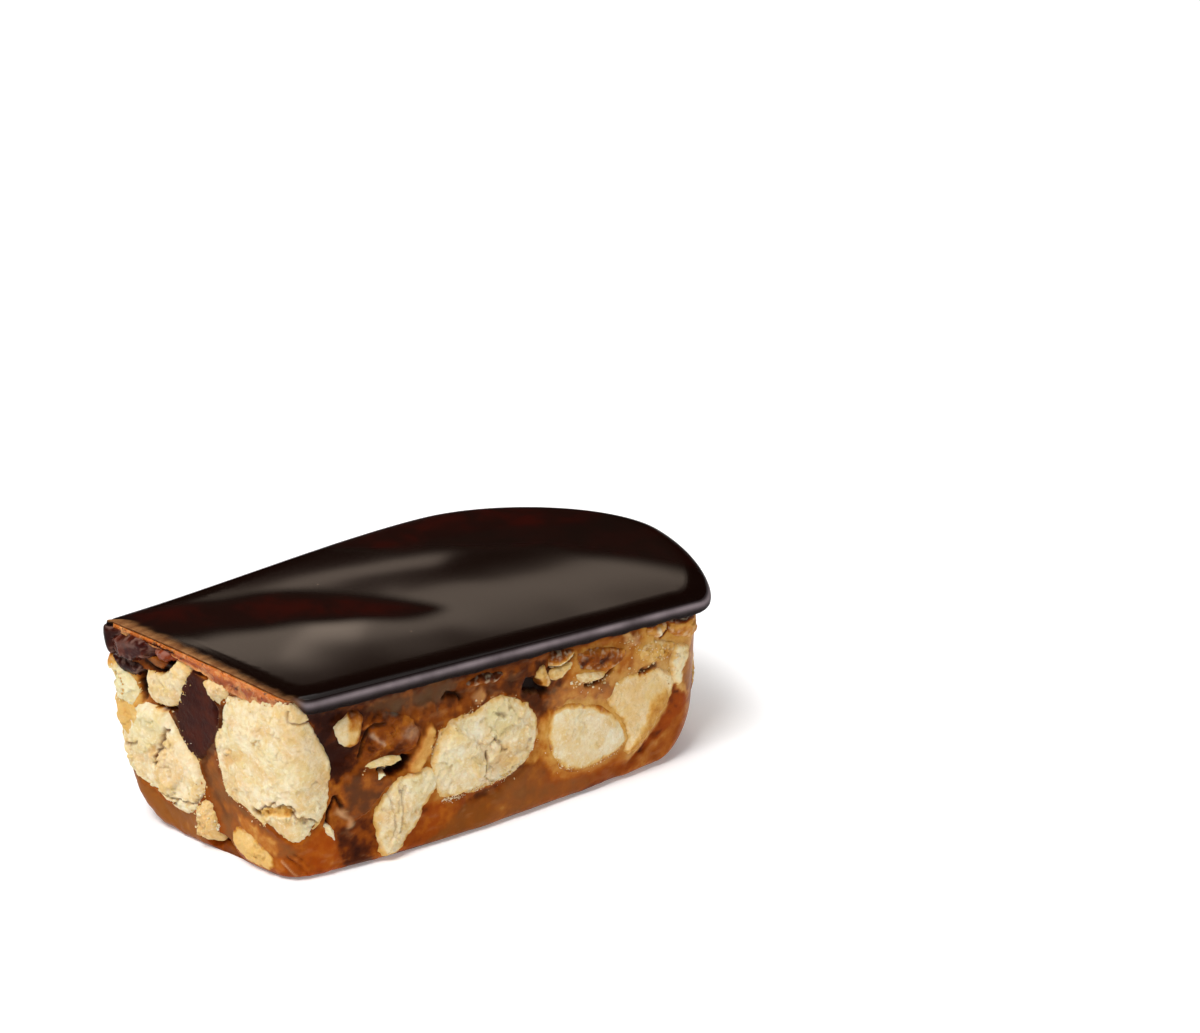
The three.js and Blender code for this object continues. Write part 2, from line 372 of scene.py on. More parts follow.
@dataclass
class BarForm:
    """The bar's own sizes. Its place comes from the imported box."""

    low: Array = field(default_factory=lambda: np.array(CAD_BOX[0]) / MM)
    high: Array = field(default_factory=lambda: np.array(CAD_BOX[1]) / MM)
    cut_to_end: float = 40.2
    crest_to_end: float = 14.2
    back_drop: float = 4.8
    slant: float = math.radians(13.5)
    release: float = 5.0
    end_pulls: tuple[float, float, float] = (3.0, -6.0, 5.0)
    back_pulls: tuple[float, float, float] = (7.7, 21.2, 1.2)
    cut_pull: float = 5.0
    belly: float = 2.0
    belly_shift: float = 6.0
    front_corner: float = 1.7
    back_corner: float = 0.5
    back_corner_foot: float = 2.4
    height_cut: float = 14.6
    height_end: float = 13.4
    crown: float = 1.05
    crown_at_cut: float = 0.75
    crown_sweep: float = math.radians(115)
    glaze: float = 0.75
    toffee_front: float = 0.45
    toffee_back: float = 1.35
    front: SideForm = SideForm(0.7, 0.4, 0.8, 0.9)
    end: SideForm = SideForm(0.8, 0.5, 3.4, 4.6)
    back: SideForm = SideForm(0.7, 0.9, 4.3, 6.4)
    cut: SideForm = SideForm(0.0, 0.1, 0.5, 0.9)


class Insets(NamedTuple):
    """How far each side of the plan stands back, the front's belly, and the back corner's rounding."""

    front: Array
    end: Array
    back: Array
    cut: Array
    belly: Array
    corner: Array


class Bar:
    """The bar's plan and heights, and the wall round its filling."""

    COLUMNS = 1600
    FOOT_LEVELS = 48
    LEVEL_STEP = 0.15
    TOP_LEVEL = 16.5
    RIM_LEVEL = 13.5
    MIDDLE = 7.3
    STRETCHES = 7
    SAMPLES = 2001
    SOFTENING = 6

    def __init__(self, form: BarForm) -> None:
        """Works out the wall once, as a table of places and directions out of it.

        Args:
            form: the bar's sizes.
        """
        self.form = form
        self.cut_x = form.high[0] - form.cut_to_end
        foot = form.back.rise * (1 - np.cos(np.linspace(0, math.pi / 2, self.FOOT_LEVELS)))
        straight = np.arange(foot[-1] + self.LEVEL_STEP, self.TOP_LEVEL, self.LEVEL_STEP)
        self.levels = np.concatenate([foot, straight])
        self.shares = self._even_shares()
        flat = self.rings(self._insets(self.levels), self.shares)
        high = np.broadcast_to(self.levels[:, None, None], flat.shape[:2] + (1,))
        self.places = np.concatenate([flat, high], -1)
        middle = flat[np.argmin(abs(self.levels - self.MIDDLE))]
        steps = np.linalg.norm(np.roll(middle, -1, 0) - middle, axis=1)
        self.length = float(steps.sum())
        self.outward = self._directions()
        corner = np.argmin(middle[:, 0] + middle[:, 1] * 2.0)
        self.corner = corner * self.length / self.COLUMNS

    def _insets(self, z: Array) -> Insets:
        """The plan's insets.

        Args:
            z: the heights.

        Returns:
            One inset a height, for each part of the plan.
        """
        f = self.form
        full = f.height_cut
        sides = (side.inset(z, full) for side in (f.front, f.end, f.back, f.cut))
        below = 1 - np.clip(z / full, 0, 1)
        corner = f.back_corner + (f.back_corner_foot - f.back_corner) * below
        return Insets(*sides, f.belly * below**2, corner)

    def _stretches(self, insets: Insets) -> list[list[Array]]:
        """The control points of the plan's stretches, from the cut's back corner round to it again.

        Args:
            insets: how far each part of the plan stands back.

        Returns:
            Each stretch's control points.
        """
        front, end, back, cut, belly, corner = insets
        f = self.form
        front_y = f.low[1] + front
        back_y = f.high[1] - back
        end_x = f.high[0] - end
        cut_back_y = f.high[1] - f.back_drop - back

        def on_cut(y: Array) -> Array:
            """A point of the cut's line."""
            return np.stack([self.cut_x + cut - (y - f.low[1]) * math.tan(f.slant), y], -1)

        def point(x: Array, y: Array) -> Array:
            """A point for every inset."""
            return np.stack(np.broadcast_arrays(x, y), -1).astype(float)

        cut_low = on_cut(front_y + f.front_corner)
        sharp = on_cut(front_y)
        front_start = sharp + np.array([f.front_corner, 0.0])
        front_stop = point(end_x - f.release, front_y)
        bow = point((front_start[:, 0] + front_stop[:, 0]) / 2 - f.belly_shift, front_y - belly)
        end_crest = point(end_x, np.zeros_like(end_x))
        back_crest = point(f.high[0] - f.crest_to_end, back_y)
        back_sharp = on_cut(cut_back_y)
        pull = point(self.cut_x + f.cut_pull, cut_back_y + f.back_pulls[2])
        way = (pull - back_sharp) / np.linalg.norm(pull - back_sharp, axis=1, keepdims=True)
        before = back_sharp + way * corner[:, None]
        after = on_cut(cut_back_y - corner)
        return [
            [after, cut_low],
            [cut_low, sharp, front_start],
            [front_start, bow, front_stop],
            [front_stop, point(end_x - f.end_pulls[0], front_y), point(end_x, f.end_pulls[1]), end_crest],
            [end_crest, point(end_x, f.end_pulls[2]), point(f.high[0] - f.back_pulls[0], back_y), back_crest],
            [back_crest, point(f.high[0] - f.back_pulls[1], back_y), pull, before],
            [before, back_sharp, after],
        ]

    def rings(self, insets: Insets, shares: list[Array]) -> Array:
        """The plan's outline for several insets at once.

        Args:
            insets: how far each part of the plan stands back.
            shares: how far along each stretch its points lie, from 0 to 1.

        Returns:
            Places on each outline, one row an inset.
        """
        parts = []
        for controls, t in zip(self._stretches(insets), shares):
            order = len(controls) - 1
            part = 0
            for k, control in enumerate(controls):
                weight = math.comb(order, k) * t**k * (1 - t) ** (order - k)
                part = part + weight[None, :, None] * control[:, None, :]
            parts.append(part)
        return np.concatenate(parts, 1)

    def _even_shares(self) -> list[Array]:
        """Shares along the stretches that put the wall's columns at even steps, half way up."""
        dense = [np.linspace(0, 1, self.SAMPLES)] * self.STRETCHES
        line = self.rings(self._insets(np.array([self.MIDDLE])), dense)[0]
        line = line.reshape(self.STRETCHES, self.SAMPLES, 2)
        runs = np.stack([runs_of(stretch) for stretch in line])
        starts = np.concatenate([[0], np.cumsum(runs[:, -1])])
        at = np.linspace(0, starts[-1], self.COLUMNS, endpoint=False)
        shares = []
        for k in range(self.STRETCHES):
            own = at[(at >= starts[k]) & (at < starts[k + 1])] - starts[k]
            shares.append(np.interp(own, runs[k], dense[k]))
        return shares

    def _directions(self) -> Array:
        """The direction out of the wall at each place of its table."""
        along = np.roll(self.places, -1, 1) - np.roll(self.places, 1, 1)
        up = np.gradient(self.places, axis=0)
        out = np.cross(along, up)
        out /= np.maximum(np.linalg.norm(out, axis=2, keepdims=True), 1e-9)
        for _ in range(self.SOFTENING):
            out = (np.roll(out, 1, 1) + 2 * out + np.roll(out, -1, 1)) / 4
        return out / np.linalg.norm(out, axis=2, keepdims=True)

    def at(self, u: Array, z: Array) -> tuple[Array, Array]:
        """The place on the wall and the direction out of it.

        Args:
            u: how far along the wall.
            z: how high.

        Returns:
            Places and directions.
        """
        level = np.interp(z, self.levels, np.arange(len(self.levels)))
        k = np.clip(np.floor(level).astype(int), 0, len(self.levels) - 2)
        f = (level - k)[:, None]
        column = (u / self.length % 1.0) * self.COLUMNS
        m = np.floor(column).astype(int) % self.COLUMNS
        n = (m + 1) % self.COLUMNS
        g = (column - np.floor(column))[:, None]
        mixed = []
        for table in (self.places, self.outward):
            low = (1 - g) * table[k, m] + g * table[k, n]
            top = (1 - g) * table[k + 1, m] + g * table[k + 1, n]
            mixed.append((1 - f) * low + f * top)
        return mixed[0], mixed[1] / np.linalg.norm(mixed[1], axis=1, keepdims=True)

    def nearest(self, place: Array) -> float:
        """How far along the wall the point nearest to a place is."""
        k = int(np.argmin(abs(self.levels - place[2])))
        m = int(np.argmin(((self.places[k, :, :2] - place[:2]) ** 2).sum(1)))
        return m * self.length / self.COLUMNS

    def middle(self, node: str) -> Pair:
        """How far along the wall, and how high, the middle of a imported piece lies."""
        low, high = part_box(node)
        centre = np.array((low + high) / 2) / MM
        return self.nearest(centre), float(centre[2])

    def local(self, node: str, u: Array, z: Array) -> Array:
        """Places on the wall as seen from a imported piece: how far right and up of its middle."""
        at, high = self.middle(node)
        along = (u - at + self.length / 2) % self.length - self.length / 2
        return np.stack([along, z - high], -1)

    def across(self, y: Array) -> Array:
        """How far across the bar a point is, from 0 at the front edge to 1 at the back."""
        return np.clip((y - self.form.low[1]) / (self.form.high[1] - self.form.low[1]), 0, 1)

    def glaze_top(self, x: Array, y: Array) -> Array:
        """The height of the glaze over points of the plan.

        Args:
            x: how far right they are.
            y: how far back.

        Returns:
            One height a point.
        """
        f = self.form
        along = (x - self.cut_x) / f.cut_to_end
        crown = f.crown * (f.crown_at_cut + (1 - f.crown_at_cut) * along)
        level = f.height_cut + (f.height_end - f.height_cut) * along
        return level + crown * np.sin(self.across(y) * f.crown_sweep)

    def toffee_top(self, x: Array, y: Array) -> Array:
        """The height of the toffee over a point of the plan."""
        return self.glaze_top(x, y) - self.form.glaze

    def filling_top(self, x: Array, y: Array) -> Array:
        """The height of the caramel over a point of the plan."""
        f = self.form
        return self.toffee_top(x, y) - f.toffee_front - (f.toffee_back - f.toffee_front) * self.across(y)

    def rim(self, inset: float, us: Array) -> Array:
        """The rim's outline, moved in by an inset all round.

        Args:
            inset: how far it is moved in.
            us: where along the wall its points are.

        Returns:
            Flat places.
        """
        one = np.ones(1)
        insets = Insets(*([one * inset] * 4), one * 0, one * max(self.form.back_corner, inset * 0.8))
        line = self.rings(insets, self.shares)[0]
        line = np.vstack([line, line[:1]])
        steps = np.arange(self.COLUMNS + 1)
        at = us / self.length * self.COLUMNS
        return np.stack([np.interp(at, steps, line[:, 0]), np.interp(at, steps, line[:, 1])], -1)

    def is_cut(self, u: Array) -> Array:
        """The share of a place along the wall that belongs to the cut, fading at its two corners."""
        along = (u + self.length / 2) % self.length - self.length / 2
        return ease(along, -1.0, 0.2) * ease(along, self.corner + 0.4, self.corner - 0.8)


# Meshes


def put(name: str, data: bpy.types.ID) -> bpy.types.Object:
    """Puts an object into the scene."""
    made = bpy.data.objects.new(name, data)
    bpy.context.scene.collection.objects.link(made)
    return made


class Maker:
    """Turns millimetre shapes into pieces."""

    @staticmethod
    def values(tints: dict[Tint, Array], more: int) -> dict[str, Array]:
        """The tints by name, with their means for some more points."""
        return {t.value: np.concatenate([v, np.full(more, v.mean())]) for t, v in tints.items()}

    @staticmethod
    def piece(
        name: str,
        points: Array,
        faces: Sequence[Sequence[int]],
        values: dict[str, Array],
        material: bpy.types.Material,
        slot: Slot,
        nodes: Sequence[str],
        smooth: bool = True,
    ) -> bpy.types.Object:
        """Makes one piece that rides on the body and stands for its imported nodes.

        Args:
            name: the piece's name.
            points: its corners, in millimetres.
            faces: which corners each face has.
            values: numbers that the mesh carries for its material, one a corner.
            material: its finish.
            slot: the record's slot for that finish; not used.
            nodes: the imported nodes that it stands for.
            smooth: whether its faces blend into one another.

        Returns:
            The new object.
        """
        mesh = bpy.data.meshes.new(name)
        mesh.from_pydata((points * MM).tolist(), [], [list(f) for f in faces])
        for key, numbers in values.items():
            mesh.attributes.new(key, "FLOAT", "POINT").data.foreach_set("value", numbers.astype(np.float32))
        shape = bmesh.new()
        shape.from_mesh(mesh)
        bmesh.ops.recalc_face_normals(shape, faces=shape.faces)
        if shape.calc_volume(signed=True) < 0:
            bmesh.ops.reverse_faces(shape, faces=shape.faces)
        open_edges = sum(1 for e in shape.edges if not e.is_manifold)
        shape.to_mesh(mesh)
        shape.free()
        if smooth:
            mesh.shade_smooth()
        mesh.materials.append(material)
        piece = put(name, mesh)
        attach(piece, BODY)
        if nodes:
            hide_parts(*nodes)
        log.info("%s: %d faces, %d open edges", name, len(mesh.polygons), open_edges)
        return piece


class Drum:
    """A closed shape of rings, one over the other, shut by a filled cap at each end."""

    def __init__(
        self, rings: Sequence[Array], low: Callable, high: Callable, low_step: float, high_step: float
    ) -> None:
        """Joins the rings and fills both ends.

        Args:
            rings: the rings' points from the lowest up, all with as many.
            low: gives the height of the lower cap over flat points.
            high: gives the height of the upper one.
            low_step: the distance between points in the lower cap.
            high_step: and in the upper one.
        """
        count = len(rings[0])
        points = list(rings)
        faces: list[tuple[int, ...]] = []
        for k in range(len(rings) - 1):
            for j in range(count):
                n = (j + 1) % count
                faces.append((k * count + j, k * count + n, (k + 1) * count + n, (k + 1) * count + j))
        self.wall_points = len(rings) * count
        start = self.wall_points
        for ring, first, height, step in (
            (rings[0], 0, low, low_step),
            (rings[-1], (len(rings) - 1) * count, high, high_step),
        ):
            inner, triangles = filled(ring[:, :2], step)
            points.append(np.column_stack([inner, height(inner[:, 0], inner[:, 1])]))
            for triangle in triangles:
                faces.append(tuple(first + i if i < count else start + i - count for i in triangle))
            start += len(inner)
        self.points = np.vstack(points)
        self.faces = faces


# Relief on the wall


@dataclass(frozen=True)
class Mark:
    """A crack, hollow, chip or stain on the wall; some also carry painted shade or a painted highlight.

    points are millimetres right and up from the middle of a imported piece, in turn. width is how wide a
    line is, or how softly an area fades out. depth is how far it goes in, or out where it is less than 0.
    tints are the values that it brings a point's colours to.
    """

    near: str
    form: Form
    points: tuple[float, ...]
    width: float
    depth: float = 0.0
    tints: dict[Tint, float] = field(default_factory=dict)
    on: On = On.ALL
    ragged: float = 0.15

    def shape(self) -> Outline:
        """Its line or outline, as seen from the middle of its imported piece."""
        return Outline(self.points, self.form is Form.AREA, 1)


@dataclass(frozen=True)
class Lump:
    """A piece in the filling that shows at its side.

    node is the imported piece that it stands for, or that it lies next to if it is a mere chip. outline is
    in millimetres right and up from that piece's middle, in turn; without one the lump is an egg as large
    as the piece, turned by tilt. crest is how far its middle stands out, edge how wide it rounds down,
    chip the size of the broken facets, ledge the height of the steps between them, step the distance
    between its points, rim how far syrup covers its edge, and halo how thin the caramel is next to it. lean
    is how steep the facets are, crumb the height of the small crumbs, tan how strong its darker patches
    are, fluff how pale its crumbly edge, ragged how uneven its outline, inward how deep it reaches, and
    below how far it stays under the top.
    """

    node: str
    slot: Slot
    seed: int
    outline: tuple[float, ...] = ()
    crest: float = 0.4
    edge: float = 0.8
    chip: float = 1.6
    ledge: float = 0.12
    step: float = 0.14
    rim: float = 0.62
    halo: float = 0.0
    lean: float = 0.12
    crumb: float = 0.035
    tan: float = 0.35
    fluff: float = 0.3
    ragged: float = 0.14
    tilt: float = 0.0
    inward: float = 3.0
    below: float = 0.5
    tints: dict[Tint, float] = field(default_factory=dict)
    facets: tuple[tuple[float, float, float, float, float], ...] = ()
    mere: bool = False

    @property
    def name(self) -> str:
        """The name of its mesh."""
        return f"chip_{self.seed}_{self.node}" if self.mere else f"piece_{self.node}"

    def shape(self, bar: Bar) -> Outline:
        """Its outline on the wall.

        Args:
            bar: the bar.

        Returns:
            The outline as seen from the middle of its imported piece, never below the floor.
        """
        if self.outline:
            points = np.array(self.outline, float).reshape(-1, 2)
        else:
            low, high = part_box(self.node)
            size = np.array(high - low) / MM
            along = math.hypot(size[0], size[1] * 0.35) if "back" in self.node else size[1]
            turns = np.linspace(0, 2 * math.pi, 18, endpoint=False)
            phase = 2 * math.pi * Grain.scatter(np.stack([np.arange(3)] * 3, -1), self.seed, 1)[:, 0]
            reach = 1.0 + 0.07 * np.cos(2 * turns + phase[0]) + 0.09 * np.cos(3 * turns + phase[1])
            reach += 0.04 * np.cos(5 * turns + phase[2])
            points = np.stack([along / 2 * reach * np.cos(turns), size[2] / 2 * reach * np.sin(turns)], -1)
            sway = math.radians(self.tilt) * 0.3
            points = points @ np.array([[math.cos(sway), math.sin(sway)], [-math.sin(sway), math.cos(sway)]])
        points[:, 1] = np.maximum(points[:, 1], 0.25 - bar.middle(self.node)[1])
        return Outline(points)


class Skin:
    """Points of a piece's outer face."""

    def __init__(self, bar: Bar, u: Array, z: Array) -> None:
        """Starts level with the wall and uncoloured.

        Args:
            bar: the bar.
            u: how far along the wall the points are.
            z: how high.
        """
        self.bar, self.u, self.z = bar, u, z
        self.places, self.out = bar.at(u, z)
        self.lift = np.zeros(len(u))
        self.tints = {tint: np.zeros(len(u)) for tint in Tint}

    def near(self, node: str, shape: Outline, margin: float) -> tuple[Array, Array]:
        """Which points lie near an outline.

        Args:
            node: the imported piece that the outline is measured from.
            shape: the outline.
            margin: how far from it still counts.

        Returns:
            The numbers of those points, and their places as seen from that piece.
        """
        flat = self.bar.local(node, self.u, self.z)
        low, high = shape.line.min(0) - margin, shape.line.max(0) + margin
        near = np.flatnonzero(((flat > low) & (flat < high)).all(1))
        return near, flat[near]

    def raised(self) -> tuple[Array, dict[Tint, Array]]:
        """The places in space, moved out, and what colours them."""
        tints = {tint: np.clip(v, 0, 1) for tint, v in self.tints.items()}
        return self.places + self.out * self.lift[:, None], tints


class Relief:
    """How far each point of the wall's pieces stands out, and what colours it."""

    EDGE_SEED = 300
    STAIN_SEED = 400
    LIP_DEPTH = 1.4
    LIP_DARK_REACH = 2.2
    LIP_DARK_REACH_LESS = 1.7
    POCKET_DEPTH = 1.5

    def __init__(self, bar: Bar, lumps: Sequence[Lump], marks: Sequence[Mark]) -> None:
        """Keeps the outlines of the lumps and marks on the bar's wall.

        Args:
            bar: the bar.
            lumps: the pieces in the filling.
            marks: the cracks, hollows, chips and stains, some with painted shade or highlights.
        """
        self.bar = bar
        self.lumps = lumps
        self.shapes = {lump.name: lump.shape(bar) for lump in lumps}
        self.marks = [(mark, mark.shape()) for mark in marks]

    @staticmethod
    def _ragged(flat: Array, places: Array, amount: float, seed: int) -> Array:
        """Local places pushed about a little, so that edges are ragged."""
        sway = np.stack([Grain.rough(places, 0.6, seed, 3), Grain.rough(places, 0.6, seed + 7, 3)], -1)
        return flat + amount * sway

    def apply_marks(self, kind: On, skin: Skin) -> None:
        """Adds the marks to a piece's relief and colours, in place.

        Args:
            kind: whether the piece is a peanut or caramel.
            skin: its outer face.
        """
        for number, (mark, shape) in enumerate(self.marks):
            if mark.on not in (On.ALL, kind):
                continue
            near, flat = skin.near(mark.near, shape, mark.width * 2.5 + 0.5)
            if not len(near):
                continue
            places = skin.places[near]
            reach = shape.distance(self._ragged(flat, places, mark.ragged, self.EDGE_SEED + number))
            share = fading(mark.form, reach, mark.width)
            skin.lift[near] -= mark.depth * share
            uneven = 1 + 0.35 * Grain.rough(places, 1.1, self.STAIN_SEED + number, 5)
            for tint, target in mark.tints.items():
                skin.tints[tint][near] += (target * uneven - skin.tints[tint][near]) * share

    def under_lip(self, skin: Skin) -> None:
        """Darkens the filling under the lip, in place: partly glaze run into it, partly painted shade under
        the lip.

        Args:
            skin: a piece's outer face.
        """
        bar, places = self.bar, skin.places
        below = bar.glaze_top(places[:, 0], places[:, 1]) - self.LIP_DEPTH - skin.z
        ragged = 0.5 * Grain.rough(places, 2.4, 71, 3)
        far = ease(skin.u, bar.corner + 12, bar.corner + 30) * ease(skin.u, bar.length, 60.0)
        reach = self.LIP_DARK_REACH - self.LIP_DARK_REACH_LESS * far
        run = (1 - bar.is_cut(skin.u)) * np.clip(1 - (below + ragged) / reach, 0, 1) ** 0.7
        # Painted shade under the lip, with glaze run into the filling, carried on the syrup value.
        skin.tints[SYRUP] = np.maximum(skin.tints[SYRUP], run)

    @staticmethod
    def _broken(lump: Lump, skin: Skin, inside: Array) -> None:
        """Breaks a lump's face into facets and crumbs, in place.

        Args:
            lump: which one.
            skin: its face.
            inside: how far the points are from its edge.
        """
        places, tints = skin.places, skin.tints
        bold = ease(inside, 0.0, 0.45)
        folded = Grain.warped(places, lump.chip * 0.4, lump.chip * 0.3, lump.seed + 1)
        border, own, way = Grain.cells(folded, lump.chip, lump.seed + 2)
        steps = lump.ledge * (2 * own[:, 0] - 1)
        skin.lift += bold * (steps + lump.lean * (way * (own[:, 1:4] * 2 - 1)).sum(1))
        tints[TAN] += 0.16 * own[:, 4] ** 2
        # Painted shade: dark lines along the borders of the broken facets.
        tints[CRACK_SHADE] += 0.12 * bold * np.exp(-((border / 0.06) ** 2)) * (own[:, 0] < 0.35)
        crumbly = ease(Grain.smooth(places, 2.2, lump.seed + 5), -0.4, 0.4)
        small = Grain.warped(places, 0.35, 0.16, lump.seed + 3)
        border, own, _ = Grain.cells(small, lump.chip * 0.36, lump.seed + 4)
        skin.lift += bold * (0.2 + 0.8 * crumbly) * lump.ledge * 0.5 * (2 * own[:, 0] - 1)
        tints[CRACK_SHADE] += 0.05 * bold * crumbly * np.exp(-((border / 0.05) ** 2)) * (own[:, 0] < 0.4)
        tints[TAN] += 0.1 * crumbly * own[:, 4] ** 2
        skin.lift += lump.crumb * (0.35 + 0.65 * crumbly) * Grain.rough(places, 0.36, lump.seed + 6, 3)

    def lump(self, lump: Lump, flat: Array, rim: int) -> tuple[Array, dict[Tint, Array]]:
        """A lump's outer face.

        Args:
            lump: which one.
            flat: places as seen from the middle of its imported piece.
            rim: how many of them, the first ones, make its edge.

        Returns:
            The places in space and what colours them.
        """
        at, high = self.bar.middle(lump.node)
        skin = Skin(self.bar, flat[:, 0] + at, np.maximum(flat[:, 1] + high, 0.02))
        places, tints = skin.places, skin.tints
        reach = self.shapes[lump.name].distance(self._ragged(flat, places, lump.ragged, lump.seed))
        inside = np.clip(-reach, 0, None)
        skin.lift += lump.crest * (1 - np.exp(-inside / lump.edge)) - 1.3 * np.clip(reach, 0, None)
        if lump.facets:
            x, y = flat.T
            planes = [high + sx * (x - cx) + sy * (y - cy) for cx, cy, high, sx, sy in lump.facets]
            skin.lift += ease(inside, 0.0, 0.25) * np.min(planes, axis=0)
        elif lump.ledge > 0:
            self._broken(lump, skin, inside)
        skin.lift += 0.06 * Grain.smooth(places, 2.0, lump.seed + 8)
        stain = 0.5 + 0.5 * Grain.rough(places, 1.1, lump.seed + 9, 3)
        tints[SYRUP] += lump.rim * ease(inside + 0.4 * stain, 0.7, 0.1)
        tints[GREEN] += 0.2 * ease(Grain.rough(places, 3.5, lump.seed + 10, 2), 0.1, 0.6)
        tints[TAN] += lump.tan * ease(Grain.rough(places, 2.2, lump.seed + 12, 3), 0.0, 0.7)
        fluff = ease(Grain.rough(places, 0.45, lump.seed + 13, 3), -0.1, 0.5)
        tints[HAZE_AND_HIGHLIGHT] += lump.fluff * fluff * ease(inside, 0.9, 0.1) * ease(inside, -0.1, 0.1)
        for tint, amount in lump.tints.items():
            spread = 1.0 + 0.35 * Grain.rough(places, 1.3, lump.seed + 11, 3)
            tints[tint] = np.maximum(tints[tint], amount * spread)
        self.under_lip(skin)
        self.apply_marks(On.PEANUTS, skin)
        skin.lift[:rim] = np.minimum(skin.lift[:rim], -0.5)
        spot, shown = skin.raised()
        spot[:, 2] = np.clip(spot[:, 2], 0.0, self.bar.glaze_top(spot[:, 0], spot[:, 1]) - lump.below)
        return spot, shown

    def caramel(self, u: Array, z: Array) -> tuple[Array, dict[Tint, Array]]:
        """The caramel's outer face.

        Args:
            u: how far along the wall its points are.
            z: how high.

        Returns:
            The places in space and what colours them.
        """
        skin = Skin(self.bar, u, z)
        places, tints = skin.places, skin.tints
        lift = -0.12 + 0.12 * Grain.rough(places, 3.0, 41, 2) + 0.03 * Grain.smooth(places, 0.7, 43)
        tints[SYRUP] += 0.62 + 0.14 * Grain.rough(places, 2.6, 44, 4)
        tints[SYRUP] += 0.07 * Grain.rough(places, 0.7, 47, 3)
        tints[ORANGE] += 0.6 * ease(z, 5.0, 1.5)
        tints[MILK] += 0.5 * ease(Grain.rough(places, 4.0, 45, 3), 0.0, 0.5)
        # Painted sheen: pale streaks along the caramel's sides in place of a satin reflection.
        sheen_streak = Grain.rough(places * np.array([1.0, 1.0, 2.6]), 1.6, 46, 3)
        tints[HAZE_AND_HIGHLIGHT] += 0.07 * ease(sheen_streak, 0.2, 0.6)
        self.under_lip(skin)
        for lump in self.lumps:
            shape = self.shapes[lump.name]
            near, flat = skin.near(lump.node, shape, 1.6)
            if not len(near):
                continue
            reach = shape.distance(self._ragged(flat, places[near], lump.ragged, lump.seed))
            sunk = ease(reach, -0.15, -0.9)
            creep = 0.1 * np.exp(-np.clip(reach, 0, None) / 0.25)
            lift[near] = lift[near] * (1 - sunk) + sunk * -self.POCKET_DEPTH + creep * (1 - sunk)
            film = lump.halo * np.exp(-((np.clip(reach, 0, None) / 0.8) ** 2))
            tints[SYRUP][near] += (0.26 - tints[SYRUP][near]) * film
            tints[MILK][near] *= 1 - film
        skin.lift = lift
        self.apply_marks(On.CARAMEL, skin)
        free = ease(z, self.bar.filling_top(places[:, 0], places[:, 1]) - 0.1, 12.4) * ease(z, -0.3, 0.1)
        skin.lift = skin.lift * free - 0.1 * (1 - free)
        spot, shown = skin.raised()
        spot[:, 2] = np.maximum(spot[:, 2], 0.0)
        return spot, shown


# Finishes


class Board:
    """Places and joins the nodes of one material or group."""

    def __init__(self, tree: bpy.types.NodeTree) -> None:
        """Starts on a tree."""
        self.tree = tree

    def feed(self, socket: Socket, value: Value) -> None:
        """Joins a socket to another, or sets its number or colour."""
        if isinstance(value, bpy.types.NodeSocket):
            self.tree.links.new(value, socket)
        else:
            socket.default_value = value

    def add(self, kind: str, inputs: Optional[dict] = None, **settings: object) -> bpy.types.Node:
        """Places one node.

        Args:
            kind: the node's type.
            inputs: what goes into its sockets, by name or number.
            settings: its own settings.

        Returns:
            The node.
        """
        node = self.tree.nodes.new(kind)
        for key, value in settings.items():
            setattr(node, key, value)
        for key, value in (inputs or {}).items():
            self.feed(node.inputs[key], value)
        return node

    def tint(self, tint: Union[Tint, str]) -> Socket:
        """A value that the mesh carries."""
        name = tint.value if isinstance(tint, Tint) else tint
        return self.add("ShaderNodeAttribute", attribute_name=name).outputs["Fac"]

    def math(self, operation: str, a: Value, b: Value) -> Socket:
        """One sum of two numbers."""
        return self.add("ShaderNodeMath", {0: a, 1: b}, operation=operation).outputs[0]

    def times(self, a: Value, b: Value) -> Socket:
        """Two numbers multiplied."""
        return self.math("MULTIPLY", a, b)

    def spread(self, value: Value, low: float, high: float, first: float = 0.0, last: float = 1.0) -> Socket:
        """A number moved from one range to another, smoothly at both ends."""
        inputs = {0: value, 1: low, 2: high, 3: first, 4: last}
        return self.add("ShaderNodeMapRange", inputs, interpolation_type="SMOOTHSTEP").outputs[0]

    def mix(self, share: Value, a: Value, b: Value) -> Socket:
        """A colour between two."""
        return self.add("ShaderNodeMix", {0: share, 6: a, 7: b}, data_type="RGBA").outputs[2]

    def place(self) -> Socket:
        """The place on the object."""
        return self.add("ShaderNodeTexCoord").outputs["Object"]

    def group(self, tree: bpy.types.NodeTree, **inputs: Value) -> Socket:
        """Places a shared group and gives its result."""
        node = self.add("ShaderNodeGroup", node_tree=tree)
        for key, value in inputs.items():
            self.feed(node.inputs[key], value)
        return node.outputs[0]

    def mottle(self, effects: "Effects", density: float, low: float, high: float) -> Socket:
        """Places the shared patches with values of their own."""
        return self.group(effects.mottle, Density=density, Low=low, High=high)


def colour(*screen: int) -> tuple[float, ...]:
    """A screen's red, green and blue, turned into the renderer's own numbers."""
    return (*(v / 255 / 12.92 if v <= 10 else ((v / 255 + 0.055) / 1.055) ** 2.4 for v in screen), 1.0)


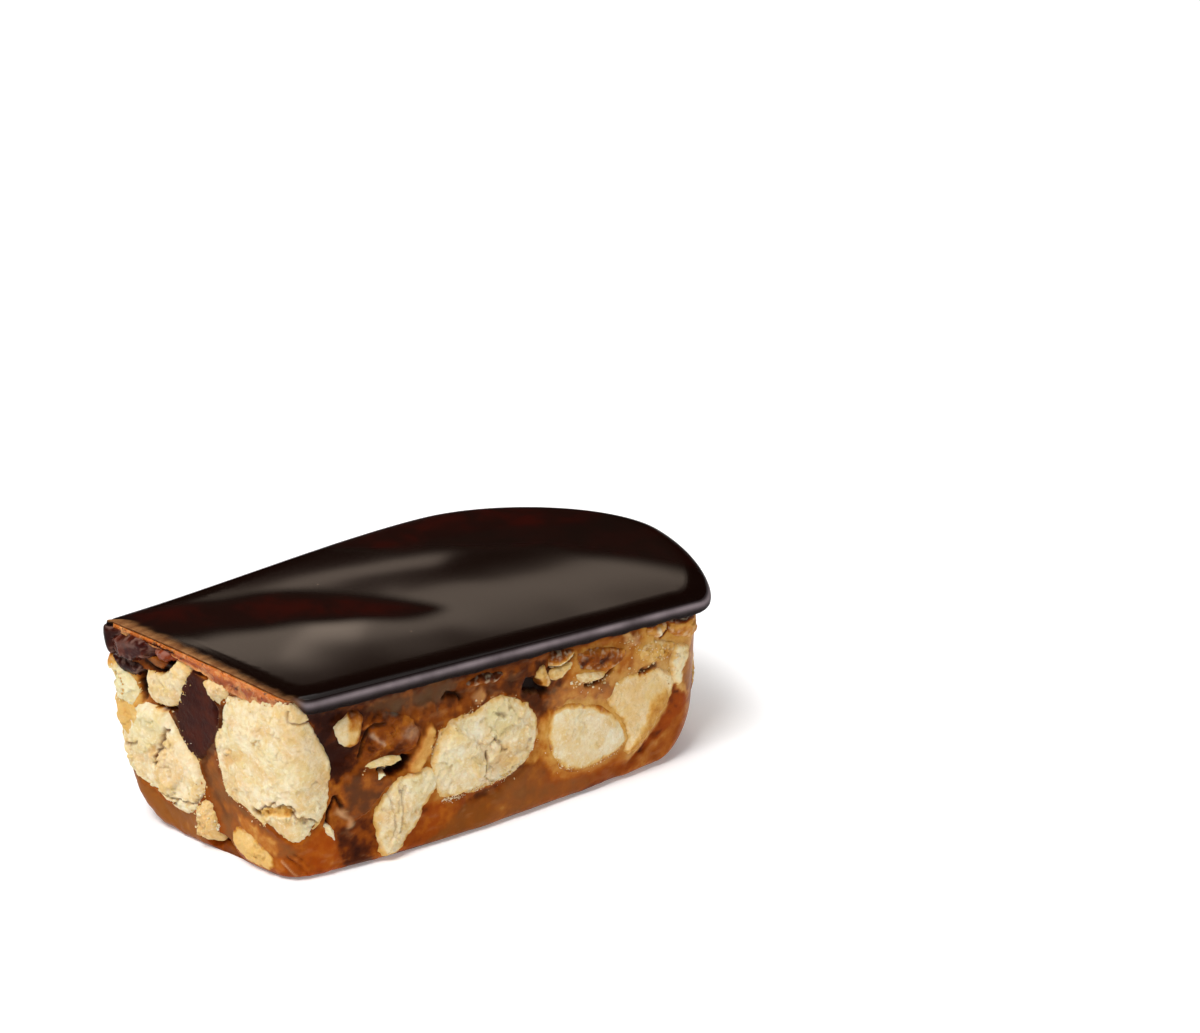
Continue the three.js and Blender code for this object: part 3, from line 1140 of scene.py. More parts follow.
class Effects:
    """The node groups that several finishes share. Each is built once."""

    SYRUP = (
        (0.0, 0.16, (224, 182, 108)),
        (0.13, 0.3, (204, 148, 68)),
        (0.26, 0.46, (172, 98, 26)),
        (0.42, 0.62, (128, 62, 10)),
        (0.6, 0.8, (74, 30, 6)),
        (0.78, 1.0, (48, 16, 5)),
    )

    def __init__(self) -> None:
        """Builds the groups."""
        patchy = {"Detail": 5.0, "Roughness": 0.6, "Distortion": 0.4}
        self.grain = self._grain()
        self.mottle = self._mask("mottle", (500.0, 0.4, 0.6), patchy, (1.0, 1.0, 1.0))
        stringy = {"Detail": 4.0, "Roughness": 0.7}
        self.streaks = self._mask("streaks", (900.0, 0.45, 0.7), stringy, (0.18, 0.5, 1.0))
        self.syrup = self._syrup()

    @staticmethod
    def _new(
        name: str, inputs: dict, output: str, kind: str = "NodeSocketFloat"
    ) -> tuple[Board, dict, Socket]:
        """Starts a group.

        Args:
            name: the group's name.
            inputs: its inputs' usual values, by name.
            output: its output's name.
            kind: the type of its output.

        Returns:
            Its board, its inputs by name and its output.
        """
        tree = bpy.data.node_groups.new(name, "ShaderNodeTree")
        for key, usual in inputs.items():
            own = "NodeSocketColor" if isinstance(usual, tuple) else "NodeSocketFloat"
            tree.interface.new_socket(name=key, in_out="INPUT", socket_type=own).default_value = usual
        tree.interface.new_socket(name=output, in_out="OUTPUT", socket_type=kind)
        board = Board(tree)
        given = board.add("NodeGroupInput").outputs
        return board, {key: given[key] for key in inputs}, board.add("NodeGroupOutput").inputs[output]

    def _grain(self) -> bpy.types.NodeTree:
        """Fine crumbs of several sizes, as a height."""
        board, given, made = self._new("crumb_grain", {"Density": 3000.0, "Coarse": 0.6}, "Height")
        place = board.place()
        inputs = {"Vector": place, "Scale": given["Density"], "Detail": 4.0, "Roughness": 0.65}
        noise = board.add("ShaderNodeTexNoise", inputs)
        dense = board.times(given["Density"], 0.6)
        cell = board.add("ShaderNodeTexVoronoi", {"Vector": place, "Scale": dense}, feature="F1")
        bumps = board.times(cell.outputs["Distance"], given["Coarse"])
        board.feed(made, board.math("SUBTRACT", noise.outputs["Fac"], bumps))
        return board.tree

    def _mask(self, name: str, usual: tuple, look: dict, stretch: tuple) -> bpy.types.NodeTree:
        """Noise between two levels, as a mask.

        Args:
            name: the group's name.
            usual: the usual values of its density and of the two levels.
            look: the noise's own settings.
            stretch: how dense it is along each axis.

        Returns:
            The group.
        """
        board, given, made = self._new(name, dict(zip(("Density", "Low", "High"), usual)), "Mask")
        place = board.add("ShaderNodeMapping", {"Vector": board.place(), "Scale": stretch}).outputs[0]
        noise = board.add("ShaderNodeTexNoise", {"Vector": place, "Scale": given["Density"], **look})
        ranged = {0: noise.outputs["Fac"], 1: given["Low"], 2: given["High"]}
        board.feed(made, board.add("ShaderNodeMapRange", ranged).outputs[0])
        return board.tree

    def _syrup(self) -> bpy.types.NodeTree:
        """The colour of what lies under syrup of some depth, from bare to almost black."""
        bare = colour(238, 220, 172)
        board, given, made = self._new("syrup", {"Bare": bare, "Depth": 0.0}, "Color", "NodeSocketColor")
        inputs = {"Vector": board.place(), "Scale": 1100.0, "Detail": 4.0, "Roughness": 0.6}
        noise = board.add("ShaderNodeTexNoise", inputs).outputs["Fac"]
        uneven = board.spread(given["Depth"], 0.0, 0.3, 0.0, 0.5)
        uneven = board.times(board.math("SUBTRACT", noise, 0.5), uneven)
        depth = board.math("ADD", given["Depth"], uneven)
        tone: Value = given["Bare"]
        for low, high, shade in self.SYRUP:
            tone = board.mix(board.spread(depth, low, high), tone, colour(*shade))
        board.feed(made, tone)
        return board.tree


class Finish:
    """What every finish shares: a material whose Principled shader its layers feed.

    relief is how much of the bumps shows, and how many metres a height of 1 stands for. fixed is what is
    the same all over the surface.
    """

    name = "finish"
    relief: Pair = (0.5, 0.0001)
    fixed: dict[str, Value] = {}

    def layers(self, board: Board, effects: Effects) -> dict[str, Value]:
        """What changes over the surface.

        Args:
            board: places the nodes.
            effects: the shared groups.

        Returns:
            Each socket's value, and the Height of the bumps.
        """
        raise NotImplementedError

    def material(self, effects: Effects) -> bpy.types.Material:
        """Builds the finish's material.

        Args:
            effects: the shared groups.

        Returns:
            The material.
        """
        made = bpy.data.materials.new(self.name)
        made.use_nodes = True
        made.node_tree.nodes.clear()
        board = Board(made.node_tree)
        fed = {**self.layers(board, effects), **self.fixed}
        bumps = {"Height": fed.pop("Height"), "Strength": self.relief[0], "Distance": self.relief[1]}
        shader = board.add("ShaderNodeBsdfPrincipled", fed)
        board.feed(shader.inputs["Normal"], board.add("ShaderNodeBump", bumps).outputs[0])
        board.feed(board.add("ShaderNodeOutputMaterial").inputs["Surface"], shader.outputs[0])
        return made


@dataclass(frozen=True)
class PeanutFinish(Finish):
    """Broken peanut: cream, granular, stained by caramel at its edges."""

    name: str = "peanut"
    cream: tuple = colour(228, 202, 145)
    pale: tuple = colour(240, 231, 202)
    yellow: tuple = colour(230, 190, 108)
    grain: tuple = colour(252, 247, 226)
    tan: tuple = colour(216, 162, 84)
    green: tuple = colour(222, 216, 168)
    crevice_shade: tuple = colour(120, 68, 24)
    haze_and_highlight: tuple = colour(250, 240, 206)

    relief = (0.9, 0.00011)
    fixed = {
        "Subsurface Weight": 0.3,
        "Subsurface Radius": (1.0, 0.62, 0.3),
        "Subsurface Scale": 0.0007,
        "Specular IOR Level": 0.05,
    }

    def layers(self, board: Board, effects: Effects) -> dict[str, Value]:
        """Its cream in patches, specks and grains, what has stained it, shade painted into its cracks, and
        its crumbs.
        """
        depth = board.tint(SYRUP)
        tone = board.mix(board.mottle(effects, 900.0, 0.36, 0.66), self.cream, self.pale)
        tone = board.mix(board.times(board.mottle(effects, 330.0, 0.5, 0.72), 0.5), tone, self.yellow)
        tone = board.mix(board.times(board.mottle(effects, 2600.0, 0.5, 0.7), 0.2), tone, self.tan)
        tone = board.mix(board.tint(TAN), tone, self.tan)
        tone = board.mix(board.tint(GREEN), tone, self.green)
        tone = board.mix(board.times(board.mottle(effects, 3300.0, 0.56, 0.68), 0.4), tone, self.grain)
        tone = board.group(effects.syrup, Bare=tone, Depth=depth)
        # Painted shade in cracks and hollows, orange brown.
        tone = board.mix(board.times(board.tint(CRACK_SHADE), 0.85), tone, self.crevice_shade)
        crumbs = board.group(effects.grain, Density=4000.0, Coarse=0.55)
        return {
            # Pale haze on crumbly edges and crumbs, and painted highlights where marks lay them.
            "Base Color": board.mix(board.tint(HAZE_AND_HIGHLIGHT), tone, self.haze_and_highlight),
            "Roughness": board.spread(depth, 0.05, 0.5, 0.5, 0.36),
            "Height": board.times(crumbs, board.spread(depth, 0.1, 0.7, 1.0, 0.3)),
        }


@dataclass(frozen=True)
class CaramelFinish(Finish):
    """Caramel: satin, translucent brown, amber where thin, milky or dark in patches."""

    name: str = "caramel"
    orange: tuple = colour(164, 70, 4)
    milk: tuple = colour(136, 77, 24)
    haze_and_highlight: tuple = colour(220, 178, 128)
    crevice_shade: tuple = colour(26, 12, 8)

    relief = (0.5, 0.00012)
    fixed = {
        "Subsurface Weight": 0.2,
        "Subsurface Radius": (1.0, 0.4, 0.12),
        "Subsurface Scale": 0.001,
        "Specular IOR Level": 0.04,
    }

    def layers(self, board: Board, effects: Effects) -> dict[str, Value]:
        """The colour of its depth, milky haze with painted sheen and highlights, painted shade in cracks, and
        smears along the bar.
        """
        depth = board.tint(SYRUP)
        tone = board.group(effects.syrup, Depth=depth)
        warm = board.times(board.tint(ORANGE), board.spread(depth, 0.9, 0.6, 0.0, 0.7))
        tone = board.mix(warm, tone, self.orange)
        tone = board.mix(board.tint(MILK), tone, self.milk)
        # Milky haze, with painted sheen streaks and painted highlights.
        tone = board.mix(board.tint(HAZE_AND_HIGHLIGHT), tone, self.haze_and_highlight)
        streaks = board.group(effects.streaks, Density=900.0, Low=0.5, High=0.75)
        return {
            # Painted shade: near black in the caramel's cracks and holes.
            "Base Color": board.mix(board.tint(CRACK_SHADE), tone, self.crevice_shade),
            "Roughness": board.spread(streaks, 0.0, 1.0, 0.3, 0.5),
            "Height": board.group(effects.grain, Density=1700.0, Coarse=0.3),
        }


@dataclass(frozen=True)
class SeamFinish(Finish):
    """The dark vein: a smooth purple-brown with a faint sheen."""

    name: str = "dark_caramel"
    body: tuple = colour(50, 17, 11)
    light: tuple = colour(84, 38, 25)
    edge: tuple = colour(112, 66, 40)

    relief = (0.6, 0.00015)
    fixed = {"Specular IOR Level": 0.05}

    def layers(self, board: Board, effects: Effects) -> dict[str, Value]:
        """Soft patches, paler where syrup thins out at its edge."""
        patches = board.mottle(effects, 800.0, 0.4, 0.7)
        tone = board.mix(board.times(patches, 0.7), self.body, self.light)
        return {
            "Base Color": board.mix(board.tint(SYRUP), tone, self.edge),
            "Roughness": board.spread(patches, 0.0, 1.0, 0.4, 0.6),
            "Height": board.group(effects.grain, Density=2500.0, Coarse=0.2),
        }


@dataclass(frozen=True)
class ToffeeFinish(Finish):
    """The toffee film: orange brown above, dark red and pitted along its middle, paler below."""

    name: str = "toffee"
    top: tuple = colour(200, 108, 38)
    red: tuple = colour(150, 68, 24)
    foot: tuple = colour(206, 128, 66)
    light: tuple = colour(238, 182, 114)
    pit: tuple = colour(54, 16, 8)

    relief = (1.0, 0.0002)
    fixed = {
        "Subsurface Weight": 0.15,
        "Subsurface Radius": (1.0, 0.35, 0.12),
        "Subsurface Scale": 0.0008,
        "Specular IOR Level": 0.25,
    }

    def layers(self, board: Board, effects: Effects) -> dict[str, Value]:
        """Its three bands, with light patches and dark pits."""
        rise = board.tint("rise")
        patches = board.mottle(effects, 1100.0, 0.48, 0.7)
        pits = board.mottle(effects, 2400.0, 0.58, 0.66)
        tone = board.mix(board.spread(rise, 0.2, 0.45), self.foot, self.red)
        tone = board.mix(board.spread(rise, 0.55, 0.8), tone, self.top)
        tone = board.mix(board.times(patches, 0.6), tone, self.light)
        return {
            "Base Color": board.mix(board.times(pits, 0.8), tone, self.pit),
            "Roughness": board.spread(patches, 0.0, 1.0, 0.25, 0.45),
            "Height": board.group(effects.grain, Density=2600.0, Coarse=0.6),
        }


@dataclass(frozen=True)
class GlazeFinish(Finish):
    """The glaze: almost black brown under a hard gloss, deep red where thin, with a painted highlight along
    its lip.
    """

    name: str = "glaze"
    body: tuple = colour(13, 5, 3)
    red: tuple = colour(40, 5, 2)
    lip: tuple = colour(20, 10, 9)
    # The colour of the highlight painted along the lip.
    painted_highlight: tuple = colour(144, 131, 134)
    amber: tuple = colour(120, 76, 44)
    gold: tuple = colour(164, 116, 72)
    speck: tuple = colour(150, 122, 100)

    relief = (0.6, 0.0001)
    fixed = {"Coat Roughness": 0.08, "Specular IOR Level": 0.04}

    def layers(self, board: Board, effects: Effects) -> dict[str, Value]:
        """Deep red patches, the lip and the highlight painted along it, the amber edge at the cut, and a few
        specks of dust.
        """
        red, matte, thin = board.tint("red"), board.tint("matte"), board.tint("thin")
        patches = board.spread(board.mottle(effects, 260.0, 0.42, 0.7), 0.0, 1.0, 0.25, 1.0)
        fine = board.group(effects.streaks, Density=2600.0, Low=0.4, High=0.65)
        tone = board.mix(board.times(board.math("POWER", red, 4.0), patches), self.body, self.red)
        tone = board.mix(matte, tone, self.lip)
        # Painted highlight: a pale band along the lip's bulge, in place of the lamps' soft highlight.
        tone = board.mix(board.tint("painted_highlight"), tone, self.painted_highlight)
        tone = board.mix(thin, tone, board.mix(fine, self.amber, self.gold))
        dust = board.add("ShaderNodeTexVoronoi", {"Vector": board.place(), "Scale": 650.0}).outputs
        chance = board.add("ShaderNodeSeparateColor", {0: dust["Color"]}).outputs[0]
        few = board.math("GREATER_THAN", chance, 0.86)
        specks = board.times(board.spread(dust["Distance"], 0.05, 0.02), few)
        dull = board.math("MAXIMUM", matte, thin)
        soft = board.math("MAXIMUM", dull, board.times(red, 0.6))
        return {
            "Base Color": board.mix(board.times(specks, 0.5), tone, self.speck),
            "Roughness": board.spread(soft, 0.0, 1.0, 0.08, 0.55),
            "Coat Weight": board.spread(soft, 0.0, 0.48, 0.9, 0.0),
            "Height": board.times(board.group(effects.grain, Density=5200.0, Coarse=0.3), dull),
        }


@dataclass(frozen=True)
class ChunkFinish(Finish):
    """The broken glaze at the corner: reddish brown and shiny."""

    name: str = "glaze_chunk"
    body: tuple = colour(52, 13, 7)
    light: tuple = colour(98, 42, 24)
    dark: tuple = colour(26, 8, 5)
    orange: tuple = colour(140, 60, 30)
    # The colour of the highlight painted on the chunk's upper facet.
    haze_and_highlight: tuple = colour(186, 146, 130)

    relief = (0.3, 0.0001)
    fixed = {"Specular IOR Level": 0.08}

    def layers(self, board: Board, effects: Effects) -> dict[str, Value]:
        """Soft patches, darker or lighter from piece to piece, and a painted highlight on its upper facet."""
        patches = board.mottle(effects, 900.0, 0.45, 0.75)
        tone = board.mix(patches, self.body, self.light)
        tone = board.mix(board.tint(SYRUP), tone, self.dark)
        tone = board.mix(board.tint(ORANGE), tone, self.orange)
        return {
            # Painted highlight where the marks lay the pale tint.
            "Base Color": board.mix(board.tint(HAZE_AND_HIGHLIGHT), tone, self.haze_and_highlight),
            "Roughness": board.spread(patches, 0.0, 1.0, 0.2, 0.4),
            "Height": board.group(effects.grain, Density=1300.0, Coarse=0.3),
        }


class Larder:
    """Every finish's material, built once."""

    def __init__(self, effects: Effects) -> None:
        """Builds the materials.

        Args:
            effects: the groups that they share.
        """
        warm = {"cream": colour(234, 204, 140), "pale": colour(242, 226, 182), "tan": colour(216, 160, 84)}
        self.caramel = CaramelFinish().material(effects)
        self.toffee = ToffeeFinish().material(effects)
        self.glaze = GlazeFinish().material(effects)
        self.lumps = {
            Slot.PEANUT: PeanutFinish().material(effects),
            Slot.TOASTED: PeanutFinish(name="peanut_toasted", **warm).material(effects),
            Slot.DARK: SeamFinish().material(effects),
            Slot.GLAZE: ChunkFinish().material(effects),
        }


# The pieces


@dataclass
class Filling:
    """The caramel and the pieces in it."""

    bar: Bar
    relief: Relief
    larder: Larder
    near_step: float = 0.11
    near_reach: float = 36.0
    far_step: float = 0.24
    row_step: float = 0.125
    height: float = 15.5
    overlap: float = 0.4
    chip_overlap: float = 0.25
    above_floor: float = 0.12

    def caramel(self) -> bpy.types.Object:
        """Builds the caramel, whose face is finest at the cut and the front."""
        bar = self.bar
        fine_end = bar.corner + self.near_reach
        fine = np.arange(0, fine_end, self.near_step)
        us = np.concatenate([fine, np.arange(fine_end, bar.length - self.far_step / 2, self.far_step)])
        rows = round(self.height / self.row_step)
        heights = self._heights(us, rows)
        spots, tints = self.relief.caramel(np.tile(us, rows), heights.reshape(-1))
        rings = spots.reshape(rows, len(us), 3)
        rings[0, :, 2] = 0.0

        def foot(x: Array, y: Array) -> Array:
            """The underside, flat but for shallow hollows."""
            places = np.column_stack([x, y, np.zeros(len(x))])
            return 0.12 * ease(Grain.rough(places, 3.0, 61, 2), 0.0, 0.8)

        drum = Drum(list(rings), foot, bar.filling_top, 0.5, 1.5)
        values = Maker.values(tints, len(drum.points) - drum.wall_points)
        return Maker.piece(
            "caramel_mass", drum.points, drum.faces, values, self.larder.caramel, Slot.CARAMEL, ["caramel"]
        )

    def _heights(self, us: Array, rows: int) -> Array:
        """Heights that split each column of the wall into even steps.

        Args:
            us: where along the wall the columns are.
            rows: how many heights each gets.

        Returns:
            One row a level, one column a place along the wall.
        """
        bar = self.bar
        dense = bar.levels
        places = bar.at(np.repeat(us, len(dense)), np.tile(dense, len(us)))[0].reshape(len(us), len(dense), 3)
        steps = np.linalg.norm(np.diff(places, axis=1), axis=2)
        runs = np.concatenate([np.zeros((len(us), 1)), np.cumsum(steps, 1)], 1)
        rim = places[:, np.argmin(abs(dense - bar.RIM_LEVEL))]
        tops = bar.filling_top(rim[:, 0], rim[:, 1]) + 0.05
        heights = np.empty((rows, len(us)))
        for j, top in enumerate(tops):
            full = np.interp(top, dense, runs[j])
            heights[:, j] = np.interp(np.linspace(0, full, rows), runs[j], dense)
        return heights

    def lump(self, lump: Lump) -> bpy.types.Object:
        """Builds one lump: its outer face, and a blunt cone inside the caramel that shuts it.

        Args:
            lump: which one.

        Returns:
            The piece.
        """
        at, high = self.bar.middle(lump.node)
        shape = self.relief.shapes[lump.name].grown(self.chip_overlap if lump.mere else self.overlap)
        shape.line[:, 1] = np.maximum(shape.line[:, 1], self.above_floor - high)
        rim = shape.spaced(lump.step)
        inner, triangles = filled(rim, lump.step)
        spots, tints = self.relief.lump(lump, np.vstack([rim, inner]), len(rim))
        count = len(rim)
        edge = spots[:count]
        middle = edge.mean(0)
        out = self.bar.at(np.array([at]) + rim[:, 0].mean(), np.array([high]) + rim[:, 1].mean())[1]
        heart = middle - out[0] * lump.inward
        ring = 0.5 * edge + 0.5 * heart + 0.3 * (edge - middle)
        points = np.vstack([spots, ring, heart[None]])
        faces: list[tuple[int, ...]] = list(triangles)
        start = len(spots)
        for j in range(count):
            n = (j + 1) % count
            faces.append((j, start + j, start + n, n))
            faces.append((start + j, start + count, start + n))
        values = Maker.values(tints, count + 1)
        nodes = [] if lump.mere else [lump.node]
        return Maker.piece(lump.name, points, faces, values, self.larder.lumps[lump.slot], lump.slot, nodes)

    def build(self) -> list[bpy.types.Object]:
        """Builds everything in the filling."""
        return [self.caramel(), *(self.lump(lump) for lump in self.relief.lumps)]


@dataclass(frozen=True)
class Trail:
    """Where crumbs lie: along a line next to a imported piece, so many, so large and so far to its sides."""

    near: str
    points: tuple[float, ...]
    count: int
    size: tuple[float, float] = (0.1, 0.3)
    spread: float = 0.3
    haze_and_highlight: float = 0.2
    syrup: float = 0.0


@dataclass
class Crumbs:
    """Loose crumbs that stick to the sides."""

    bar: Bar
    larder: Larder
    trails: Sequence[Trail]
    seed: int = 7
    start_out: float = 2.0
    search: float = 3.0

    def _one(self, dice: np.random.Generator, size: float) -> tuple[Array, list[tuple[int, int, int]]]:
        """One small broken crumb.

        Args:
            dice: the source of chance.
            size: its width.

        Returns:
            Its corners about its middle, and its faces.
        """
        shape = bmesh.new()
        bmesh.ops.create_icosphere(shape, subdivisions=1, radius=size / 2)
        points = np.array([v.co for v in shape.verts])
        faces = [tuple(v.index for v in f.verts) for f in shape.faces]
        shape.free()
        stretch = dice.uniform(0.55, 1.25, 3)
        return points * stretch * dice.uniform(0.75, 1.2, (len(points), 1)), faces

    def build(self, pieces: Sequence[bpy.types.Object]) -> bpy.types.Object:
        """Scatters the crumbs on what has been built.

        Args:
            pieces: the pieces that they may lie on.

        Returns:
            All crumbs as one piece.
        """
        dice = np.random.default_rng(self.seed)
        points: list[Array] = []
        faces: list[tuple[int, ...]] = []
        haze_and_highlight: list[float] = []
        syrup: list[float] = []
        count = 0
        trees = []
        for mesh in (piece.data for piece in pieces):
            corners = [v.co for v in mesh.vertices]
            trees.append(BVHTree.FromPolygons(corners, [f.vertices for f in mesh.polygons]))
        for trail in self.trails:
            line = np.reshape(trail.points, (-1, 2))
            at, high = self.bar.middle(trail.near)
            runs = runs_of(line)
            for _ in range(trail.count):
                along = dice.uniform(0, runs[-1])
                flat = np.array([np.interp(along, runs, line[:, k]) for k in (0, 1)])
                flat += dice.laplace(0, trail.spread, 2)
                place, out = self.bar.at(np.array([flat[0] + at]), np.array([max(0.1, flat[1] + high)]))
                start = Vector((place[0] + out[0] * self.start_out) * MM)
                hits = [tree.ray_cast(start, Vector(-out[0]), self.search * MM) for tree in trees]
                hits = [hit for hit in hits if hit[0] is not None]
                if not hits:
                    continue
                spot = np.array(min(hits, key=lambda hit: hit[3])[0]) / MM
                size = trail.size[0] + (trail.size[1] - trail.size[0]) * dice.uniform() ** 2
                body, own = self._one(dice, size)
                points.append(body + spot - out[0] * size * 0.1)
                faces.extend(tuple(i + count for i in f) for f in own)
                haze_and_highlight.extend([trail.haze_and_highlight * dice.uniform(0.1, 1.1)] * len(body))
                syrup.extend([trail.syrup + 0.3 * dice.uniform() ** 2] * len(body))
                count += len(body)
        values = {t.value: np.zeros(count) for t in Tint}
        values[HAZE_AND_HIGHLIGHT.value] = np.clip(haze_and_highlight, 0, 1)
        values[SYRUP.value] = np.clip(syrup, 0, 1)
        cream = self.larder.lumps[Slot.PEANUT]
        return Maker.piece("crumbs", np.vstack(points), faces, values, cream, Slot.PEANUT, [], False)


@dataclass
class Toffee:
    """The layer under the glaze. It runs through the bar and shows along the cut."""

    bar: Bar
    larder: Larder
    columns: int = 900
    rows: int = 16
    anchor: str = "dark_seam"
    edge: tuple[float, ...] = (
        -7, 0.5, -2.8, 0.55, -0.8, 0.8, 0.7, 1, 2.1, 1.5, 5.3, 1.55, 7, 1, 9.3, 0.35, 11, 0.2,
    )
    ragged: float = 0.16
    out: float = 0.1

    def build(self) -> bpy.types.Object:
        """Builds the layer."""
        bar = self.bar
        us = np.linspace(0, bar.length, self.columns, endpoint=False)
        places, _ = bar.at(us, np.full(self.columns, bar.RIM_LEVEL))
        x, y = places[:, 0], places[:, 1]
        cut = bar.is_cut(us)
        high = bar.toffee_top(x, y) + 0.5
        edge = np.array(self.edge).reshape(-1, 2)
        drop = np.interp(bar.local(self.anchor, us, us)[:, 0], edge[:, 0], edge[:, 1])
        shown = high - drop - self.ragged * Grain.rough(places, 0.7, 81, 4)
        low = cut * shown + (1 - cut) * bar.filling_top(x, y)
        rings = []
        rise = []
        for share in np.linspace(0, 1, self.rows):
            z = low + (high - low) * share
            spots, outward = bar.at(us, z)
            gritty = 0.09 * Grain.rough(spots, 0.5, 82, 3) + 0.06 * Grain.smooth(spots, 1.4, 83)
            border = -0.4 * (1 - ease(np.array(share), 0.0, 0.12))
            rings.append(spots + outward * (cut * (self.out + gritty + border) - 0.15 * (1 - cut))[:, None])
            rise.append(np.clip(share * cut + 0.5 * (1 - cut) + 0.22 * Grain.rough(spots, 1.6, 84, 3), 0, 1))

        def level(a: Array, b: Array) -> Array:
            """The height of the layer's upper face."""
            return bar.toffee_top(a, b) + 0.1

        drum = Drum(rings, bar.filling_top, level, 1.5, 1.5)
        values = {"rise": np.concatenate([*rise, np.ones(len(drum.points) - drum.wall_points)])}
        return Maker.piece(
            "toffee_film", drum.points, drum.faces, values, self.larder.toffee, Slot.TOFFEE, ["toffee_layer"]
        )


@dataclass(frozen=True)
class Swell:
    """A gentle ridge in the top, or a dull red patch, in millimetres from the middle of the glaze."""

    form: Form
    points: tuple[float, ...]
    width: float
    height: float = 0.0
    red: float = 0.0


@dataclass
class Glaze:
    """The dark skin on top, with its lip down the sides and a thin broken edge at the cut."""

    bar: Bar
    larder: Larder
    swells: Sequence[Swell]
    columns: int = 800
    rows: int = 40
    top_step: float = 0.36
    insets: Pair = (-0.1, 1.8)
    rims: int = 20
    # Each row: inset, depth below the top, dullness, and the strength of the highlight painted along the lip.
    section: tuple[tuple[float, ...], ...] = (
        (1.7, 0.8, 1, 0), (1.1, 1, 1, 0), (0.8, 1.3, 1, 0), (0.55, 1.42, 1, 0), (0.3, 1.38, 1, 0),
        (0.12, 1.2, 1, 0), (0.03, 0.98, 1, 0.05), (0.02, 0.78, 1, 0.3), (0.1, 0.52, 1, 0.95),
        (0.25, 0.3, 0.6, 0), (0.48, 0.16, 0, 0), (0.8, 0.06, 0, 0), (1.2, 0.015, 0, 0), (1.7, 0, 0, 0),
    )
    broken: tuple[tuple[float, ...], ...] = (
        (1.7, 0.55), (0.6, 0.4), (0.12, 0.25), (0.03, 0.2), (-0.02, 0.16), (-0.02, 0.13), (0, 0.1),
        (0.04, 0.08), (0.1, 0.06), (0.2, 0.05), (0.4, 0.04), (0.7, 0.03), (1.1, 0.015), (1.7, 0),
    )

    def _shares(self, x: Array, y: Array) -> list[tuple[Swell, Array]]:
        """How strongly each swell reaches each point of the top.

        Args:
            x: how far right the points are.
            y: how far back.

        Returns:
            Each swell with its share, from 0 to 1.
        """
        low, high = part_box("glaze")
        middle = np.array((low + high) / 2)[:2] / MM
        flat = np.column_stack([x, y]) - middle
        places = np.column_stack([flat, flat[:, 0] * 0])
        flat = flat + 0.5 * np.stack([Grain.smooth(places, 5.0, 95 + k) for k in (0, 1)], -1)
        shares = []
        for swell in self.swells:
            reach = Outline(swell.points, swell.form is Form.AREA).distance(flat)
            shares.append((swell, fading(swell.form, reach, swell.width)))
        return shares

    def swell(self, x: Array, y: Array) -> Array:
        """The gentle unevenness of the top.

        Args:
            x: how far right its points are.
            y: how far back.

        Returns:
            One height a point.
        """
        places = np.column_stack([x, y, np.zeros(len(x))])
        total = 0.012 * Grain.smooth(places, 7.0, 91)
        for swell, share in self._shares(x, y):
            total += swell.height * share
        return total

    def redness(self, x: Array, y: Array) -> Array:
        """Where the glaze is thin enough to look red."""
        return np.clip(sum(swell.red * share for swell, share in self._shares(x, y)), 0, 1)

    def build(self) -> bpy.types.Object:
        """Builds the skin."""
        bar = self.bar
        us = np.linspace(0, bar.length, self.columns, endpoint=False)
        cut = bar.is_cut(us)
        lip, edge = (self._fine(section) for section in (self.section, self.broken))
        insets = np.linspace(*self.insets, self.rims)
        fans = np.stack([bar.rim(k, us) for k in insets])
        rings = []
        shown: dict[str, list[Array]] = {"matte": [], "painted_highlight": [], "thin": []}
        for row in range(self.rows):
            inset = lip[row, 0] * (1 - cut) + edge[row, 0] * cut
            below = lip[row, 1] * (1 - cut) + edge[row, 1] * cut
            share = np.clip((inset - insets[0]) / (insets[1] - insets[0]), 0, len(insets) - 1.001)
            k = share.astype(int)
            f = (share - k)[:, None]
            spot = (1 - f) * fans[k, np.arange(self.columns)] + f * fans[k + 1, np.arange(self.columns)]
            hang = np.column_stack([spot, np.zeros(self.columns)])
            wave = ease(below, 0.7, 1.3) * (0.12 * Grain.rough(hang, 1.6, 93, 3)) * (1 - cut)
            z = bar.glaze_top(spot[:, 0], spot[:, 1]) - below + wave
            z += self.swell(spot[:, 0], spot[:, 1]) * ease(inset, 0.2, 1.7)
            rings.append(np.column_stack([spot, z]))
            shown["matte"].append(lip[row, 2] * (1 - cut))
            # The section's fourth column: the strength of the highlight painted along the lip.
            painted_highlight = lip[row, 3] * (1 - cut) * (0.75 + 0.35 * Grain.rough(hang, 2.5, 96, 3))
            shown["painted_highlight"].append(np.clip(painted_highlight, 0, 1))
            frayed = 0.25 * Grain.rough(hang, 1.0, 94, 3)
            shown["thin"].append(0.9 * cut * ease(inset + frayed + 0.04 * us, 1.3, 0.2))

        def top(x: Array, y: Array) -> Array:
            """The upper face."""
            return bar.glaze_top(x, y) + self.swell(x, y)

        drum = Drum(rings, bar.toffee_top, top, 1.5, self.top_step)
        extra = np.zeros(len(drum.points) - drum.wall_points)
        values = {key: np.concatenate([*rows, extra]) for key, rows in shown.items()}
        values["red"] = self.redness(drum.points[:, 0], drum.points[:, 1])
        return Maker.piece(
            "glaze_skin", drum.points, drum.faces, values, self.larder.glaze, Slot.GLAZE, ["glaze"]
        )

